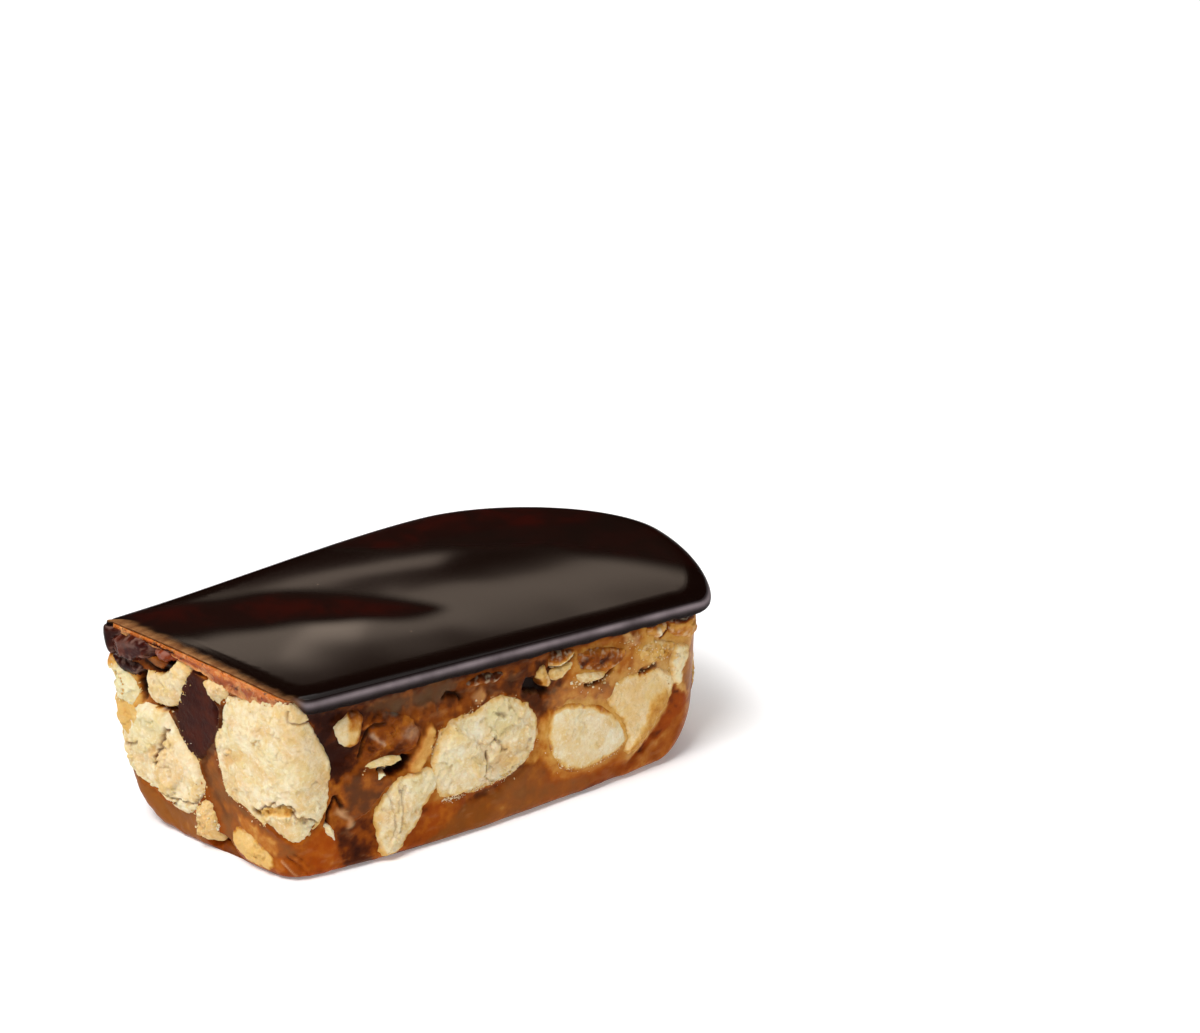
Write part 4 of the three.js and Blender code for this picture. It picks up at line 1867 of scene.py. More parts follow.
    def _fine(self, section: Sequence[tuple[float, ...]]) -> Array:
        """A section's points, joined by a smooth curve and taken at even steps along it.

        Args:
            section: each point's inset and depth below the top, and for the lip its dullness and the strength
                of its painted highlight.

        Returns:
            One row a ring.
        """
        line = np.array(section)
        padded = np.vstack([2 * line[0] - line[1], line, 2 * line[-1] - line[-2]])
        fine = []
        for k in range(1, len(padded) - 2):
            a, b, c, d = padded[k - 1 : k + 3]
            for t in np.linspace(0, 1, 12, endpoint=False):
                bend = (2 * a - 5 * b + 4 * c - d) * t**2 + (3 * b - a - 3 * c + d) * t**3
                fine.append(0.5 * (2 * b + (c - a) * t + bend))
        fine.append(line[-1])
        curve = np.array(fine)
        run = runs_of(curve[:, :2])
        at = np.linspace(0, run[-1], self.rows)
        return np.stack([np.interp(at, run, column) for column in curve.T], -1)


# What is in the filling

LARGE, LOWER, UPPER, CORNER, EDGE, SCRAP, FOOT = (
    f"peanut_cut_{name}" for name in ("large", "lower", "upper", "corner", "edge", "scrap", "foot")
)
TIP, SKIN, LOW, MIDDLE, RIGHT, CHIP, HUSK, FAR, AMBER = (
    f"peanut_front_{name}"
    for name in ("tip", "skin", "low", "middle", "right", "chip", "husk", "far", "amber")
)
CHUNK, SEAM = "glaze_chunk", "dark_seam"
P, T, D, G = Slot.PEANUT, Slot.TOASTED, Slot.DARK, Slot.GLAZE

# After each outline: crest, edge, chip, ledge, step, rim and halo.
LUMPS = (
    Lump(LARGE, P, 11, (-3.3, 4, -2.7, 4.8, -1.2, 5.1, 0.3, 5.5, 1.6, 6.2, 3, 6.3, 3.8, 5.8, 4.3, 4.6, 4.7,
         3.2, 5.5, 1.6, 6, 0, 6, -1.4, 5.6, -2.9, 4.8, -4.1, 3.4, -5.4, 2.6, -5.1, 0.7, -4.3, -1.1, -3.6,
         -3.1, -3.1, -3.6, -2.2, -4.1, -0.5, -4.2, 0.6, -3.7, 2.1), 0.35, 0.7, 1.5, 0.08, 0.085, 0.12, 0.12,
         lean=0.08, crumb=0.06),
    Lump(LOWER, P, 12, (-2.7, 3.4, -0.9, 4, 0.8, 4.1, 1, 3.1, 1.8, 1.9, 3.4, 0.4, 3.7, -0.7, 3.4, -2.2, 2.3,
         -3.2, 1.2, -3.8, -0.7, -4, -2, -3.5, -3.4, -2.8, -4.3, -2.2, -4.7, -1, -4.8, 0.3, -4.5, 1.4, -3.1,
         2.6), 0.35, 0.45, 1.9, 0.14, 0.085, 0.1, 0.3),
    Lump(UPPER, P, 13, (-2, 0.8, -0.8, 1, 0.6, 1.9, 2, 2.8, 2.5, 1.9, 2, 0.9, 1.1, -0.9, -0.2, -1.5, -1.2,
         -1.5, -2.1, -1.1), 0.4, 0.4, 0.9, 0.14, 0.085, 0.1, crumb=0.06, tints={TAN: 0.3}),
    Lump(CORNER, P, 14, (-1.6, 1.9, 0.8, 2.4, 2.2, 1.6, 3.5, 0.8, 3.9, -0.3, 3.2, -1.7, 1.8, -1.4, 0.4, -1,
         -1.6, 0), 0.35, 0.4, 1.4, 0.08, 0.09, 0, 0.9, tints={GREEN: 0.4}),
    Lump(EDGE, T, 15, (-1.6, 1.6, 0.2, 2.4, 2, 2.9, 3.2, 2.6, 4.2, 1.5, 3.6, -0.4, 2, -2, 0.2, -2.4, -1.4,
         -1), 0.2, 0.5, 1.2, 0.1, 0.09, 0.2, 0.7, fluff=0.1, tints={SYRUP: 0.18, TAN: 0.4}),
    Lump(SCRAP, T, 16, (-1.2, 0, 0, 0.9, 0.9, 0.3, 0.5, -1.8, -1, -2.3, -2.2, -2.5, -2.6, -1.9, -1.8, -1),
         0.5, 0.35, 0.5, 0.12, 0.07, 0.1, lean=0.3, crumb=0.08, tints={TAN: 0.5}),
    Lump(FOOT, T, 17, (-2.7, 0.5, -1.5, 1.3, -0.3, 1, 1, 0.5, 2.1, -0.2, 2.5, -1.2, 0.3, -1.6, -2, -1.3,
         -2.9, -0.4), 0.4, 0.8, 1.2, 0.04, 0.1, 0.5, 0.4, fluff=0.1, tints={SYRUP: 0.14}),
    Lump(CHUNK, G, 18, (-1.5, 0.9, -1.2, 1.6, 0, 2.1, 1.8, 2.5, 2.5, 1.7, 2, 0.9, 0.5, 0.1, -1.2, 0.2), 0.1,
         0.2, 1.6, 0.12, 0.07, 0, facets=((0.9, 1, 0.6, -0.1, 0.15), (-0.9, 0.9, 0.3, 0.6, 0.1), (0.8, 2.2,
         0.3, 0.1, -1.2), (0.3, 0.2, 0.25, 0, 1.2), (2.2, 1.6, 0.3, -1, 0))),
    Lump(SEAM, D, 19, (-0.5, 3.3, 0.4, 3.1, 2.3, 1.1, 1.8, -0.2, 1.1, -1.3, 0.4, -2.2, -0.6, -3.4, -1.9, -3,
         -2.9, -0.5, -1.9, 1.5), 0.02, 0.8, 1.6, 0, 0.12, 0.15),
    Lump(TIP, P, 21, (-1.6, 0.5, -0.9, 1, 0, 1.4, 0.7, 0.7, 0.5, -0.5, 0.2, -1.3, -0.5, -1.3, -1.2, -0.5),
         0.4, 0.9, 1.4, 0.012, 0.08, 0.5, 0.35, crumb=0.015, lean=0.04, fluff=0.1, ragged=0.08,
         tints={SYRUP: 0.1}),
    Lump(SKIN, T, 22, (-1.9, 2.6, -0.7, 2.5, 0.8, 1.8, 2, 0.6, 1.9, -0.6, 0.5, -1, -0.7, -0.6, -2.1, -0.7,
         -3, -0.6, -3.1, 0.2, -2.5, 1.1), 0.35, 0.9, 1.2, 0.03, 0.09, 0.3, crumb=0.02, fluff=0,
         tints={SYRUP: 0.6}),
    Lump(LOW, P, 23, (-1.2, 3, 0, 3.2, 1.2, 3.3, 2.2, 3.3, 3, 2.6, 2.8, 1.6, 2.4, 1.2, 1.4, 0.3, 1.2, -0.6,
         0.2, -1.6, -0.2, -2.7, -2, -2.7, -2.3, -0.9, -2.7, 0.6, -2.6, 1.1, -1.8, 2.2), 0.4, 0.6, 1.4, 0.08,
         0.085, 0.25, 0.35),
    Lump(MIDDLE, P, 24, (-4.9, -0.5, -4.6, 0.8, -4.1, 2.3, -3.4, 2.7, -3, 3.1, -1.4, 3.1, -0.2, 3.6, 0.9, 4,
         2.8, 3.2, 3.9, 2.4, 4.6, 0.9, 4.4, -0.8, 3.4, -2, 1.6, -2.8, -0.8, -3, -1.9, -3, -3.8, -2.9, -4.8,
         -2), 0.5, 0.8, 1.8, 0.12, 0.085, 0.25, 0.35),
    Lump(RIGHT, P, 25, (-3.5, 3.2, -2.5, 3.3, -0.8, 3.2, 0.8, 2.5, 2.6, 1.2, 3.6, -0.3, 3.8, -1.2, 2.7, -2,
         1.2, -2.2, -1, -2.3, -2.4, -1.6, -3.6, -0.4, -3.9, 0.8, -3.8, 2), 0.4, 1.5, 2.4, 0.015, 0.09, 0.45,
         0.9, lean=0.04, crumb=0.012, tan=0.15, fluff=0.1, ragged=0.1),
    Lump(CHIP, P, 26, (-0.7, 1.2, 0.2, 1.3, 1.4, 1.1, 1.3, 0.6, 0.7, 0.1, 0, 0, -0.8, 0.1), 0.4, 0.2, 0.9,
         0.1, 0.07, 0),
    Lump(HUSK, T, 27, (-2.5, 1.3, -1.3, 1.5, 0.6, 1.1, 2.6, 0.5, 1.8, -0.5, 0.9, -0.9, -0.8, -0.4, -2.1,
         -0.2), 0.35, 0.7, 1.1, 0.08, 0.09, 0.6, 0.6, tints={SYRUP: 0.5}),
    Lump(FAR, P, 28, (-5.2, 0.5, -4.5, 1.7, -1.4, 1.8, 0.8, 1.2, 1.4, -0.2, 1, -1.2, -0.4, -2.9, -1.6, -4.4,
         -2.9, -4.5, -3.1, -3.4, -3.8, -1.4), 0.35, 1, 2, 0.03, 0.09, 0.3, 0.85, crumb=0.02, lean=0.06,
         tints={SYRUP: 0.08}),
    Lump(AMBER, T, 29, (-1.8, 1.6, 0.2, 1.5, 0.3, 0.6, -0.1, 0.2, -1.1, 0.2, -1.8, 0.8), 0.45, 0.6, 1.2,
         0.06, 0.08, 0.4, 0.8, tints={SYRUP: 0.34}),
    Lump(AMBER, T, 51, (0.4, 1.5, 1.7, 1.7, 3.6, 1.2, 3.8, -0.8, 1.6, -0.3, 0.3, 0.4), 0.45, 0.6, 1.2, 0.06,
         0.08, 0.4, 0.8, tints={SYRUP: 0.36}, mere=True),
    Lump(AMBER, T, 52, (-2.3, -1.1, -1.9, 0.1, 0.5, -0.3, 1.3, -1, 0.5, -1.8, -0.9, -1.9), 0.35, 0.5, 0.8,
         0.12, 0.08, 0.3, 0.8, tints={SYRUP: 0.24}, mere=True),
    Lump(FAR, P, 53, (1.3, 3.1, 2.3, 3.1, 2.8, 2.1, 2.1, 1.1, 2.1, -0.2, 1.3, -0.2, 0.9, 1.1, 0.9, 2.4),
         0.35, 0.4, 1, 0.08, 0.08, 0.2, 0.85, mere=True),
    Lump(HUSK, P, 54, (-2.5, -0.1, -0.8, -0.4, 0.7, -1, 0.1, -1.3, -1.3, -1.25, -2.1, -0.9), 0.4, 0.25, 0.7,
         0.08, 0.07, 0.1, 0.6, tints={TAN: 0.3}, mere=True),
    Lump(CHIP, P, 55, (-0.8, 0, 0.3, 0.1, 1.2, 0.4, 1.4, -0.4, 0.3, -1, -0.6, -1), 0.2, 0.4, 0.9, 0.06,
         0.08, 0.2, tints={GREEN: 0.8, SYRUP: 0.1}, mere=True),
    Lump(RIGHT, P, 56, (-4.9, 6.3, -4.1, 7.2, -3.6, 6.1, -3.5, 5.3, -4, 5.2), 0.3, 0.4, 0.8, 0.08, 0.08,
         0.3, 0.9, tints={GREEN: 0.5, SYRUP: 0.25}, mere=True),
    Lump(SKIN, P, 57, (-3.2, -1.15, -2.4, -0.75, -1.1, -0.8, -0.2, -0.9, 0.3, -1.35, -0.5, -1.55, -1.9,
         -1.45), 0.5, 0.2, 0.8, 0.06, 0.06, 0, tints={GREEN: 0.9, SYRUP: 0.08}, mere=True),
    Lump(SKIN, P, 58, (-2.4, -2.15, -1.7, -1.75, -0.7, -1.8, -0.4, -2.15, -1.5, -2.25, -1.9, -2.55), 0.45,
         0.2, 0.7, 0.06, 0.06, 0, tints={GREEN: 0.5, HAZE_AND_HIGHLIGHT: 0.3}, mere=True),
    Lump(LOW, P, 59, (-6.6, 1, -6.05, 0.7, -5.7, -0.6, -6.4, 0.2), 0.35, 0.2, 0.5, 0.05, 0.06, 0, 0.35,
         tints={HAZE_AND_HIGHLIGHT: 0.3}, mere=True),
    Lump(MIDDLE, T, 60, (-1.8, 5.5, -0.6, 5.9, 1.7, 5.6, 1.4, 5, -0.5, 5.1, -1.4, 5.1), 0.3, 0.3, 0.8, 0.08,
         0.08, 0.2, 0.35, tints={SYRUP: 0.15}, mere=True),
    Lump(SEAM, P, 61, (0.4, 2.9, 1.5, 3.4, 2.4, 3.5, 3, 3.1, 2.4, 2.3, 2.3, 1.3, 1.6, 1.5), 0.35, 0.25, 0.7,
         0.12, 0.07, 0.1, tints={TAN: 0.5}, mere=True),
    Lump(CHUNK, G, 62, (2.5, 1.6, 3.2, 2, 4.2, 2.3, 4.9, 1.6, 3.3, 0.95), 0.1, 0.2, 1.6, 0.12, 0.07, 0,
         tints={ORANGE: 0.7}, facets=((3.7, 1.6, 0.4, 0.3, 0), (3.7, 1.9, 0.35, -0.6, -0.6), (3.4, 1.2, 0.3,
         0, 0.9)), mere=True),
    Lump(CHUNK, G, 63, (-2.9, 2.2, -2.4, 2.7, -0.2, 2.75, -0.1, 1.9, -1.2, 0.4, -2.2, 0.2, -2.9, 1), 0.3,
         0.5, 1.6, 0, 0.08, 0, tints={SYRUP: 0.4}, mere=True),
    Lump(CHUNK, G, 64, (-1.6, 0.6, -0.3, 0, 1.3, 0.1, 1, -0.6, -0.3, -1.2, -1.6, -0.7), 0.35, 0.3, 1.6, 0,
         0.07, 0, tints={SYRUP: 0.7}, mere=True),
    Lump(CHUNK, G, 65, (0.6, 2.6, 2.5, 2.7, 4.5, 2.7, 5.2, 2.3, 4.5, 2.2, 2.5, 2.3), 0.35, 0.2, 1.6, 0,
         0.07, 0, tints={SYRUP: 0.3}, mere=True),
    Lump("peanut_end_front", T, 31, edge=0.9, tints={SYRUP: 0.2}),
    Lump("peanut_end_middle", P, 32),
    Lump("peanut_end_low", P, 33, edge=0.9),
    Lump("peanut_back_left", P, 41, tilt=18),
    Lump("peanut_back_low", T, 42, tilt=-24, tints={SYRUP: 0.3}),
    Lump("peanut_back_high", P, 43, tilt=10),
    Lump("peanut_back_middle", P, 44, tilt=38, crest=0.5),
    Lump("peanut_back_chip", T, 45, edge=0.5, chip=0.9, tints={SYRUP: 0.2}),
    Lump("peanut_back_right", P, 46, tilt=-16),
    Lump("peanut_back_foot", T, 47, tilt=8, tints={SYRUP: 0.35}),
    Lump("peanut_back_turn", P, 48, tilt=35),
)

LINE, AREA = Form.LINE, Form.AREA
NUTS, MASS = On.PEANUTS, On.CARAMEL

MARKS = (
    # The cut: the large peanut's hollow, crack, tip and ledges.
    Mark(LARGE, LINE, (-0.3, -3.3, 0.9, -2.6, 2.4, -1.9, 3.1, -2.3, 3, -2.8, 4, -3.2, 4.7, -3.7), 0.12, 0.3,
         {CRACK_SHADE: 0.8}, NUTS, 0.3),
    Mark(LARGE, AREA, (0.2, -3.6, 0.9, -2.7, 2.4, -2, 3.1, -2.4, 3.1, -3, 4, -3.3, 4.9, -3.8, 3.6, -6, 2,
         -5.8), 0.15, 0.2, {}, NUTS, 0.3),
    Mark(LARGE, LINE, (-0.3, -3.2, 0.1, -3.4), 0.25, 0.35, {CRACK_SHADE: 0.8}, NUTS),
    Mark(LARGE, AREA, (-3.4, 0.1, -2.1, 1, -1, 1, -1.4, 0.2, -2.7, -0.6), 0.5, 0.12, {TAN: 0.7}, NUTS, 0.3),
    Mark(LARGE, LINE, (2.9, 5.4, 2.8, 4.6, 3.2, 4.5, 3.9, 4.3, 4.4, 4.3), 0.09, 0.2, {CRACK_SHADE: 0.5}, NUTS,
         0.1),
    Mark(LARGE, AREA, (-3.8, 5, -3.9, 2.4, -2.9, 1.2, -2.4, 3, -2.6, 4.8), 0.15, 0.2, {GREEN: 0.3}, NUTS,
         0.2),
    Mark(LARGE, AREA, (-3.8, -2.6, -2.8, -3.2, -1.1, -3.6, 0.7, -4.3, 2.6, -5.2, 2.4, -6, -0.1, -5, -3.8,
         -3.8), 0.4, 0, {SYRUP: 0.3}, NUTS),
    Mark(LARGE, AREA, (1.6, 6.9, 1.8, 4.6, 2.4, 2.2, 4, 0.2, 7.5, 0.2, 7.5, 6.9), 0.4, 0, {SYRUP: 0.06},
         NUTS),
    # Painted shade in the hollow under the large peanut's crack, with a real dip.
    Mark(LARGE, AREA, (-0.5, -3.5, 0.9, -2.7, 2.4, -2, 3.1, -2.4, 2.9, -2.9, 1.6, -2.9, 0.5, -3.5), 0.3,
         0.12, {SYRUP: 0.22, TAN: 0.7}, NUTS),
    # The lower peanut: a curved crack, a raised plate, pits and a layered skin along its foot.
    Mark(LOWER, LINE, (0.6, 2.5, 0.1, 1.8, -0.4, 0.8, -1.1, -0.3, -1.5, -0.8), 0.12, 0.35, {CRACK_SHADE: 0.9},
         NUTS, 0.25),
    Mark(LOWER, AREA, (-0.9, -0.6, 0.7, 0.7, 2.2, 0, 1.5, -1.1, 0.2, -1.9, -1.1, -2, -2.1, -1.8), 0.14,
         -0.16, {TAN: 0.35}, NUTS, 0.25),
    Mark(LOWER, AREA, (-2.2, 3.1, -0.6, 3.4, 0.5, 2.8, 0.1, 1.8, -1.6, 0.2, -3.2, -0.6, -4, -0.2, -3, 2),
         0.14, -0.12, {GREEN: 0.35, TAN: 0.1}, NUTS, 0.16),
    Mark(LOWER, LINE, (-3.3, -3, -1.9, -3.1, 0.2, -3, 1.9, -2.9, 3.3, -2), 0.1, 0.24, {CRACK_SHADE: 0.6}, NUTS,
         0.25),
    Mark(LOWER, LINE, (-2, -3.7, -1.6, -3.6, -0.9, -3.5, -0.1, -3.3), 0.1, 0.35, {CRACK_SHADE: 1}, NUTS, 0.08),
    Mark(LOWER, LINE, (-4.2, -0.2, -3.6, 0.1, -2.9, 0.4), 0.1, 0.25, {CRACK_SHADE: 0.8}, NUTS, 0.12),
    # The broken corner: a hole, cracks and a gap down between two peanuts, each painted black as shade.
    Mark(CHUNK, AREA, (-6, -1.5, -1.6, -1.5, -1.2, 3.4, -6, 3.4), 1.5, -0.45),
    # Painted highlight on the broken chunk's upper facet.
    Mark(CHUNK, AREA, (-0.8, 1.3, 0, 1.8, 1.5, 2.1, 1.7, 1.8, 0.6, 1.4, -0.7, 1), 0.25, 0, {HAZE_AND_HIGHLIGHT: 0.14},
         NUTS, 0.15),
    Mark(CHUNK, AREA, (2.9, 0.1, 3.7, 1, 4.5, 1.4, 4.1, 0.8, 3.1, -0.1), 0.2, 1, {CRACK_SHADE: 1, SYRUP: 1},
         On.ALL, 0.1),
    Mark(CHUNK, LINE, (1.6, 0.5, 2.2, 0.1, 2.9, 0.1), 0.16, 0.6, {CRACK_SHADE: 1, SYRUP: 1}, On.ALL, 0.1),
    Mark(CHUNK, AREA, (0.3, -1.4, 1, -0.3, 1.6, -0.4, 1.4, -1.6, 0.7, -3.1, 0.4, -1.9), 0.3, 0.7,
         {CRACK_SHADE: 0.9, SYRUP: 1}),
    Mark(UPPER, LINE, (-0.9, -1.5, 0.1, -1.6, 0.7, -1.3), 0.12, 0.5, {CRACK_SHADE: 1, SYRUP: 1}),
    Mark(LOWER, AREA, (-10, -7, -5, -7, -3.8, -4.5, -4.2, -2, -4.6, 0, -4.4, 4.5, -10, 4.5), 2, -0.6),
    Mark(EDGE, AREA, (-6, -4, 0, -4, 0.6, 0, 0.6, 4, -6, 4), 2, -0.35),
    Mark(FOOT, AREA, (-7.5, -4, -7, -0.9, -5, -0.2, -3.4, -0.9, -2.6, -4), 1, 0.9, {}, MASS),
    # The cut's caramel: an orange patch, brown below the vein, milk brown to the left, amber to the right.
    Mark(SEAM, AREA, (-0.9, 4.4, 1.9, 4.8, 2.8, 5, 1.9, 3.4, 0.6, 2.8, -0.3, 3.4), 0.25, -0.15,
         {SYRUP: 0.46, MILK: 0.55, HAZE_AND_HIGHLIGHT: 0}, MASS),
    Mark(LARGE, AREA, (-5.4, -0.6, -4.5, -0.4, -4, -2.2, -2.9, -3.4, -0.1, -4.2, 2.8, -5.3, 3.6, -5.9, 1.4,
         -6.6, -1, -6.4, -2.8, -5.1, -3.8, -7.4, -4.8, -7.2, -4.9, -5.1, -5.5, -3.4), 0.6, 0, {SYRUP: 0.68,
         MILK: 0.55, HAZE_AND_HIGHLIGHT: 0.05}, MASS),
    Mark(LARGE, AREA, (-2.6, -4, -0.5, -4.6, 2.2, -5.4, 1.4, -6.6, -0.9, -5.9, -2.6, -5.1), 0.6, -0.1,
         {SYRUP: 0.38, MILK: 0.1, ORANGE: 0.1}, MASS),
    Mark(SEAM, AREA, (-0.8, 3.2, 0.4, 3.4, 2.7, 1.1, 2.3, -0.4, 1.5, -1.7, 0.8, -2.6, -0.6, -3.8, -2.3,
         -3.2, -3.4, -0.5, -2.3, 1.6), 0.5, 0.05, {SYRUP: 0.84, MILK: 0.15, ORANGE: 0}, MASS, 0.35),
    Mark(SEAM, LINE, (-0.4, -2.9, -0.3, -4.2, 0.3, -5.6, 1.2, -7), 0.35, 0.05, {SYRUP: 0.82, MILK: 0.3},
         MASS),
    Mark(LOWER, AREA, (-5.2, -1, -4.4, -2.3, -3.3, -3.6, -1.2, -4.2, 2.1, -3.6, 1.9, -4.8, 0.2, -6, -3.1,
         -6.2, -5.6, -5), 0.5, 0, {MILK: 1, SYRUP: 0.62, HAZE_AND_HIGHLIGHT: 0.04, ORANGE: 0}, MASS),
    Mark(FOOT, AREA, (5.2, 1.4, 8.2, 0.8, 8.6, -2, 4.6, -2, 4.9, -0.3), 0.9, 0, {SYRUP: 0.55, ORANGE: 0.9,
         MILK: 0}, MASS),
    Mark(FOOT, LINE, (3.3, 0.1, 4.2, -0.5, 4.9, -1.3), 0.09, 0.15, {SYRUP: 0.8}, MASS, 0.05),
    Mark(FOOT, LINE, (3.9, 0.3, 4.7, -0.3, 5.3, -1), 0.07, 0.12, {SYRUP: 0.8}, MASS, 0.05),
    # Painted highlight: a pale glint line beside the cracks.
    Mark(FOOT, LINE, (2.9, -0.3, 3.6, -0.9, 4.1, -1.5), 0.08, -0.1, {HAZE_AND_HIGHLIGHT: 0.4}, MASS, 0.05),
    # The front's left: dark glaze that has run down, amber blobs with red cracks, and the lower caramel.
    Mark(TIP, AREA, (-4.1, 3.1, -3.3, 1.9, 3, 1.6, 1.2, 0.4, 0.4, -1.9, 0.5, -2.6, -0.6, -3.4, -2, -3.8,
         -2.2, -2.9, -2.3, -1.4, -3.4, 0.3, -3.8, 1.5), 0.7, 0.1, {SYRUP: 0.86, MILK: 0, ORANGE: 0,
         HAZE_AND_HIGHLIGHT: 0}, MASS, 0.3),
    Mark(TIP, AREA, (-3.6, 2.4, -0.8, 2, -1.9, 0.3, -1.4, -0.9, 0.2, -1.8, -1, -2.9, -2.2, -2.5, -2.9,
         -0.1), 0.8, 0.15, {SYRUP: 1}, MASS, 0.3),
    Mark(SKIN, AREA, (-2.7, 3.8, 1.4, 3.6, 3.3, 3.6, 5.3, 3.6, 4.1, 2.1, 1.4, 2.2, -1.9, 2.6), 0.8, 0,
         {SYRUP: 0.84, HAZE_AND_HIGHLIGHT: 0.1, MILK: 0.1}, On.ALL, 0.4),
    Mark(SKIN, AREA, (1.3, 2.2, 2.6, 2.5, 3.5, 1.9, 2.9, 1, 1.7, 1.2), 0.6, -0.2, {SYRUP: 0.6, MILK: 0.1},
         MASS, 0.3),
    Mark(SKIN, AREA, (2.5, 0.9, 3.1, 0.1, 2.8, -1, 2.3, -1.9, 1.3, -2.8, 0.5, -2.2, 1.2, -1.4, 1.9, -0.4),
         0.4, -0.35, {SYRUP: 0.28, HAZE_AND_HIGHLIGHT: 0.1, MILK: 0, ORANGE: 0}, MASS, 0.2),
    Mark(SKIN, LINE, (-1.3, 1.9, -2.3, 1.8, -2.8, 1, -3.2, -0.2), 0.12, 0.3, {SYRUP: 0.9, CRACK_SHADE: 0.5},
         On.ALL, 0.1),
    # Painted highlight: a pale glint line on the amber skin.
    Mark(SKIN, LINE, (-2.2, 1.2, -1.9, 0.8, -1.3, 0.2), 0.14, -0.1, {HAZE_AND_HIGHLIGHT: 0.22}, On.ALL, 0.1),
    Mark(SKIN, AREA, (0.1, 0.9, 1.6, 1, 1.4, 0, 0.2, 0.1), 0.7, 0, {MILK: 0.6, SYRUP: 0.5, HAZE_AND_HIGHLIGHT: 0.12},
         NUTS, 0.3),
    Mark(SKIN, AREA, (-2.1, -1.5, -0.5, -1.6, 0.4, -1, 1.1, -1.6, 0.4, -2.1, -0.5, -2.4, -1.4, -2), 0.3,
         0.9, {CRACK_SHADE: 1, SYRUP: 1}, On.ALL, 0.15),
    Mark(LOW, AREA, (-5, 3.9, -4.2, 4.4, -3.2, 4.4, -1.7, 3.5, -1.2, 3, -2, 2.2, -2.8, 1.4, -3.6, 0.9, -4.6,
         1.4, -5.4, 2.7), 0.5, -0.3, {SYRUP: 0.72, ORANGE: 0.1, MILK: 0.1, HAZE_AND_HIGHLIGHT: 0.04}, MASS, 0.25),
    Mark(LOW, AREA, (-5.8, 0.5, -3.9, 0.7, -2.4, 0.8, -2.1, -1, -1.8, -3.2, -5.1, -3.2, -5.6, -1), 0.7,
         0.05, {SYRUP: 0.78, MILK: 0, ORANGE: 0.2}, MASS, 0.25),
    Mark(LOW, AREA, (-7.4, 0.8, -6.2, 0.6, -5.7, -0.6, -5.8, -3.2, -8.5, -3.2, -7.9, -0.4), 0.6, -0.1,
         {SYRUP: 0.52, ORANGE: 0.9, MILK: 0}, MASS),
    Mark(LOW, LINE, (-5.2, 2.2, -5.6, 3.2, -6.1, 2.4, -6.4, 1), 0.12, 0.4, {SYRUP: 0.95, CRACK_SHADE: 0.5}, MASS,
         0.1),
    # Painted highlight: a pale glint line beside the crack.
    Mark(LOW, LINE, (-5.5, 1.9, -4.6, 1.1, -4.4, 0.5), 0.2, -0.15, {HAZE_AND_HIGHLIGHT: 0.5}, MASS, 0.2),
    Mark(LOW, LINE, (-1.6, 2.4, -1.1, 0.8, -1, -1), 0.08, 0.1, {CRACK_SHADE: 0.3}, NUTS, 0.15),
    Mark(LOW, LINE, (-0.6, 2.6, -0.3, 1, -0.4, -1.2), 0.08, 0.1, {CRACK_SHADE: 0.25}, NUTS, 0.15),
    # The front's middle: a smooth plate and fissure, and what lies over and under the large peanut.
    Mark(MIDDLE, AREA, (-3, 2.4, -1.6, 1.6, -0.6, 0, -0.2, -1.6, -1, -2, -3, 0, -3.9, 1.3), 0.25, -0.2,
         {TAN: 0, CRACK_SHADE: 0}, NUTS, 0.14),
    Mark(MIDDLE, LINE, (-0.2, -0.1, -0.2, -0.8, -0.4, -1.9), 0.09, 0.3, {CRACK_SHADE: 0.8}, NUTS, 0.1),
    # Painted shade in a shallow hollow of the peanut, tan and green, with a real dip.
    Mark(MIDDLE, AREA, (-0.2, 3.4, 1.6, 3.4, 2.9, 2, 2, 0.9, 0.8, 0.8, -0.1, 1.7), 0.6, 0.12, {TAN: 0.45,
         GREEN: 0.6}, NUTS, 0.3),
    Mark(MIDDLE, LINE, (0.9, 2.6, 1.4, 2.2), 0.2, 0.25, {CRACK_SHADE: 0.5}, NUTS),
    Mark(MIDDLE, LINE, (0.6, 0.7, 1, -0.1, 1.4, -0.4), 0.13, 0.2, {CRACK_SHADE: 0.5}, NUTS, 0.2),
    Mark(MIDDLE, AREA, (-3.3, 4.5, -2, 5.3, 0.1, 5.1, 1.7, 5.1, 3, 4.7, 3, 3.4, 0.9, 4, -0.2, 3.6, -1.4,
         3.1, -3, 3.1), 0.6, -0.05, {SYRUP: 0.74, MILK: 0.15, ORANGE: 0.1}, MASS, 0.35),
    Mark(MIDDLE, AREA, (-1.2, 4.6, -0.1, 4.8, 0.1, 4, -0.8, 3.6), 0.5, -0.1, {MILK: 0.5, HAZE_AND_HIGHLIGHT: 0.25,
         SYRUP: 0.4}, MASS, 0.2),
    Mark(MIDDLE, LINE, (-3.4, 5, -2.6, 5.1, -2.1, 4.4), 0.16, 0.4, {SYRUP: 1, CRACK_SHADE: 0.5}, MASS, 0.2),
    Mark(MIDDLE, AREA, (-5.6, -3, -3.9, -2.8, -3, -4, -5.4, -5, -7.2, -6, -6.8, -4.9, -5.8, -4), 0.6, 0,
         {SYRUP: 0.6, ORANGE: 0.7, MILK: 0}, MASS, 0.25),
    Mark(MIDDLE, AREA, (-3, -4.5, -1.5, -3.7, 0.8, -3.6, 3, -2.6, 5.5, -5, 4.1, -7, -2.2, -7, -5.2, -7),
         0.9, 0, {MILK: 0.75, SYRUP: 0.66, ORANGE: 0.2}, MASS, 0.3),
    Mark(MIDDLE, LINE, (-1.5, -3.5, 0.8, -3.4, 3.2, -2.6, 4.6, -1.4), 0.35, 0.1, {SYRUP: 0.84, MILK: 0.2},
         MASS, 0.15),
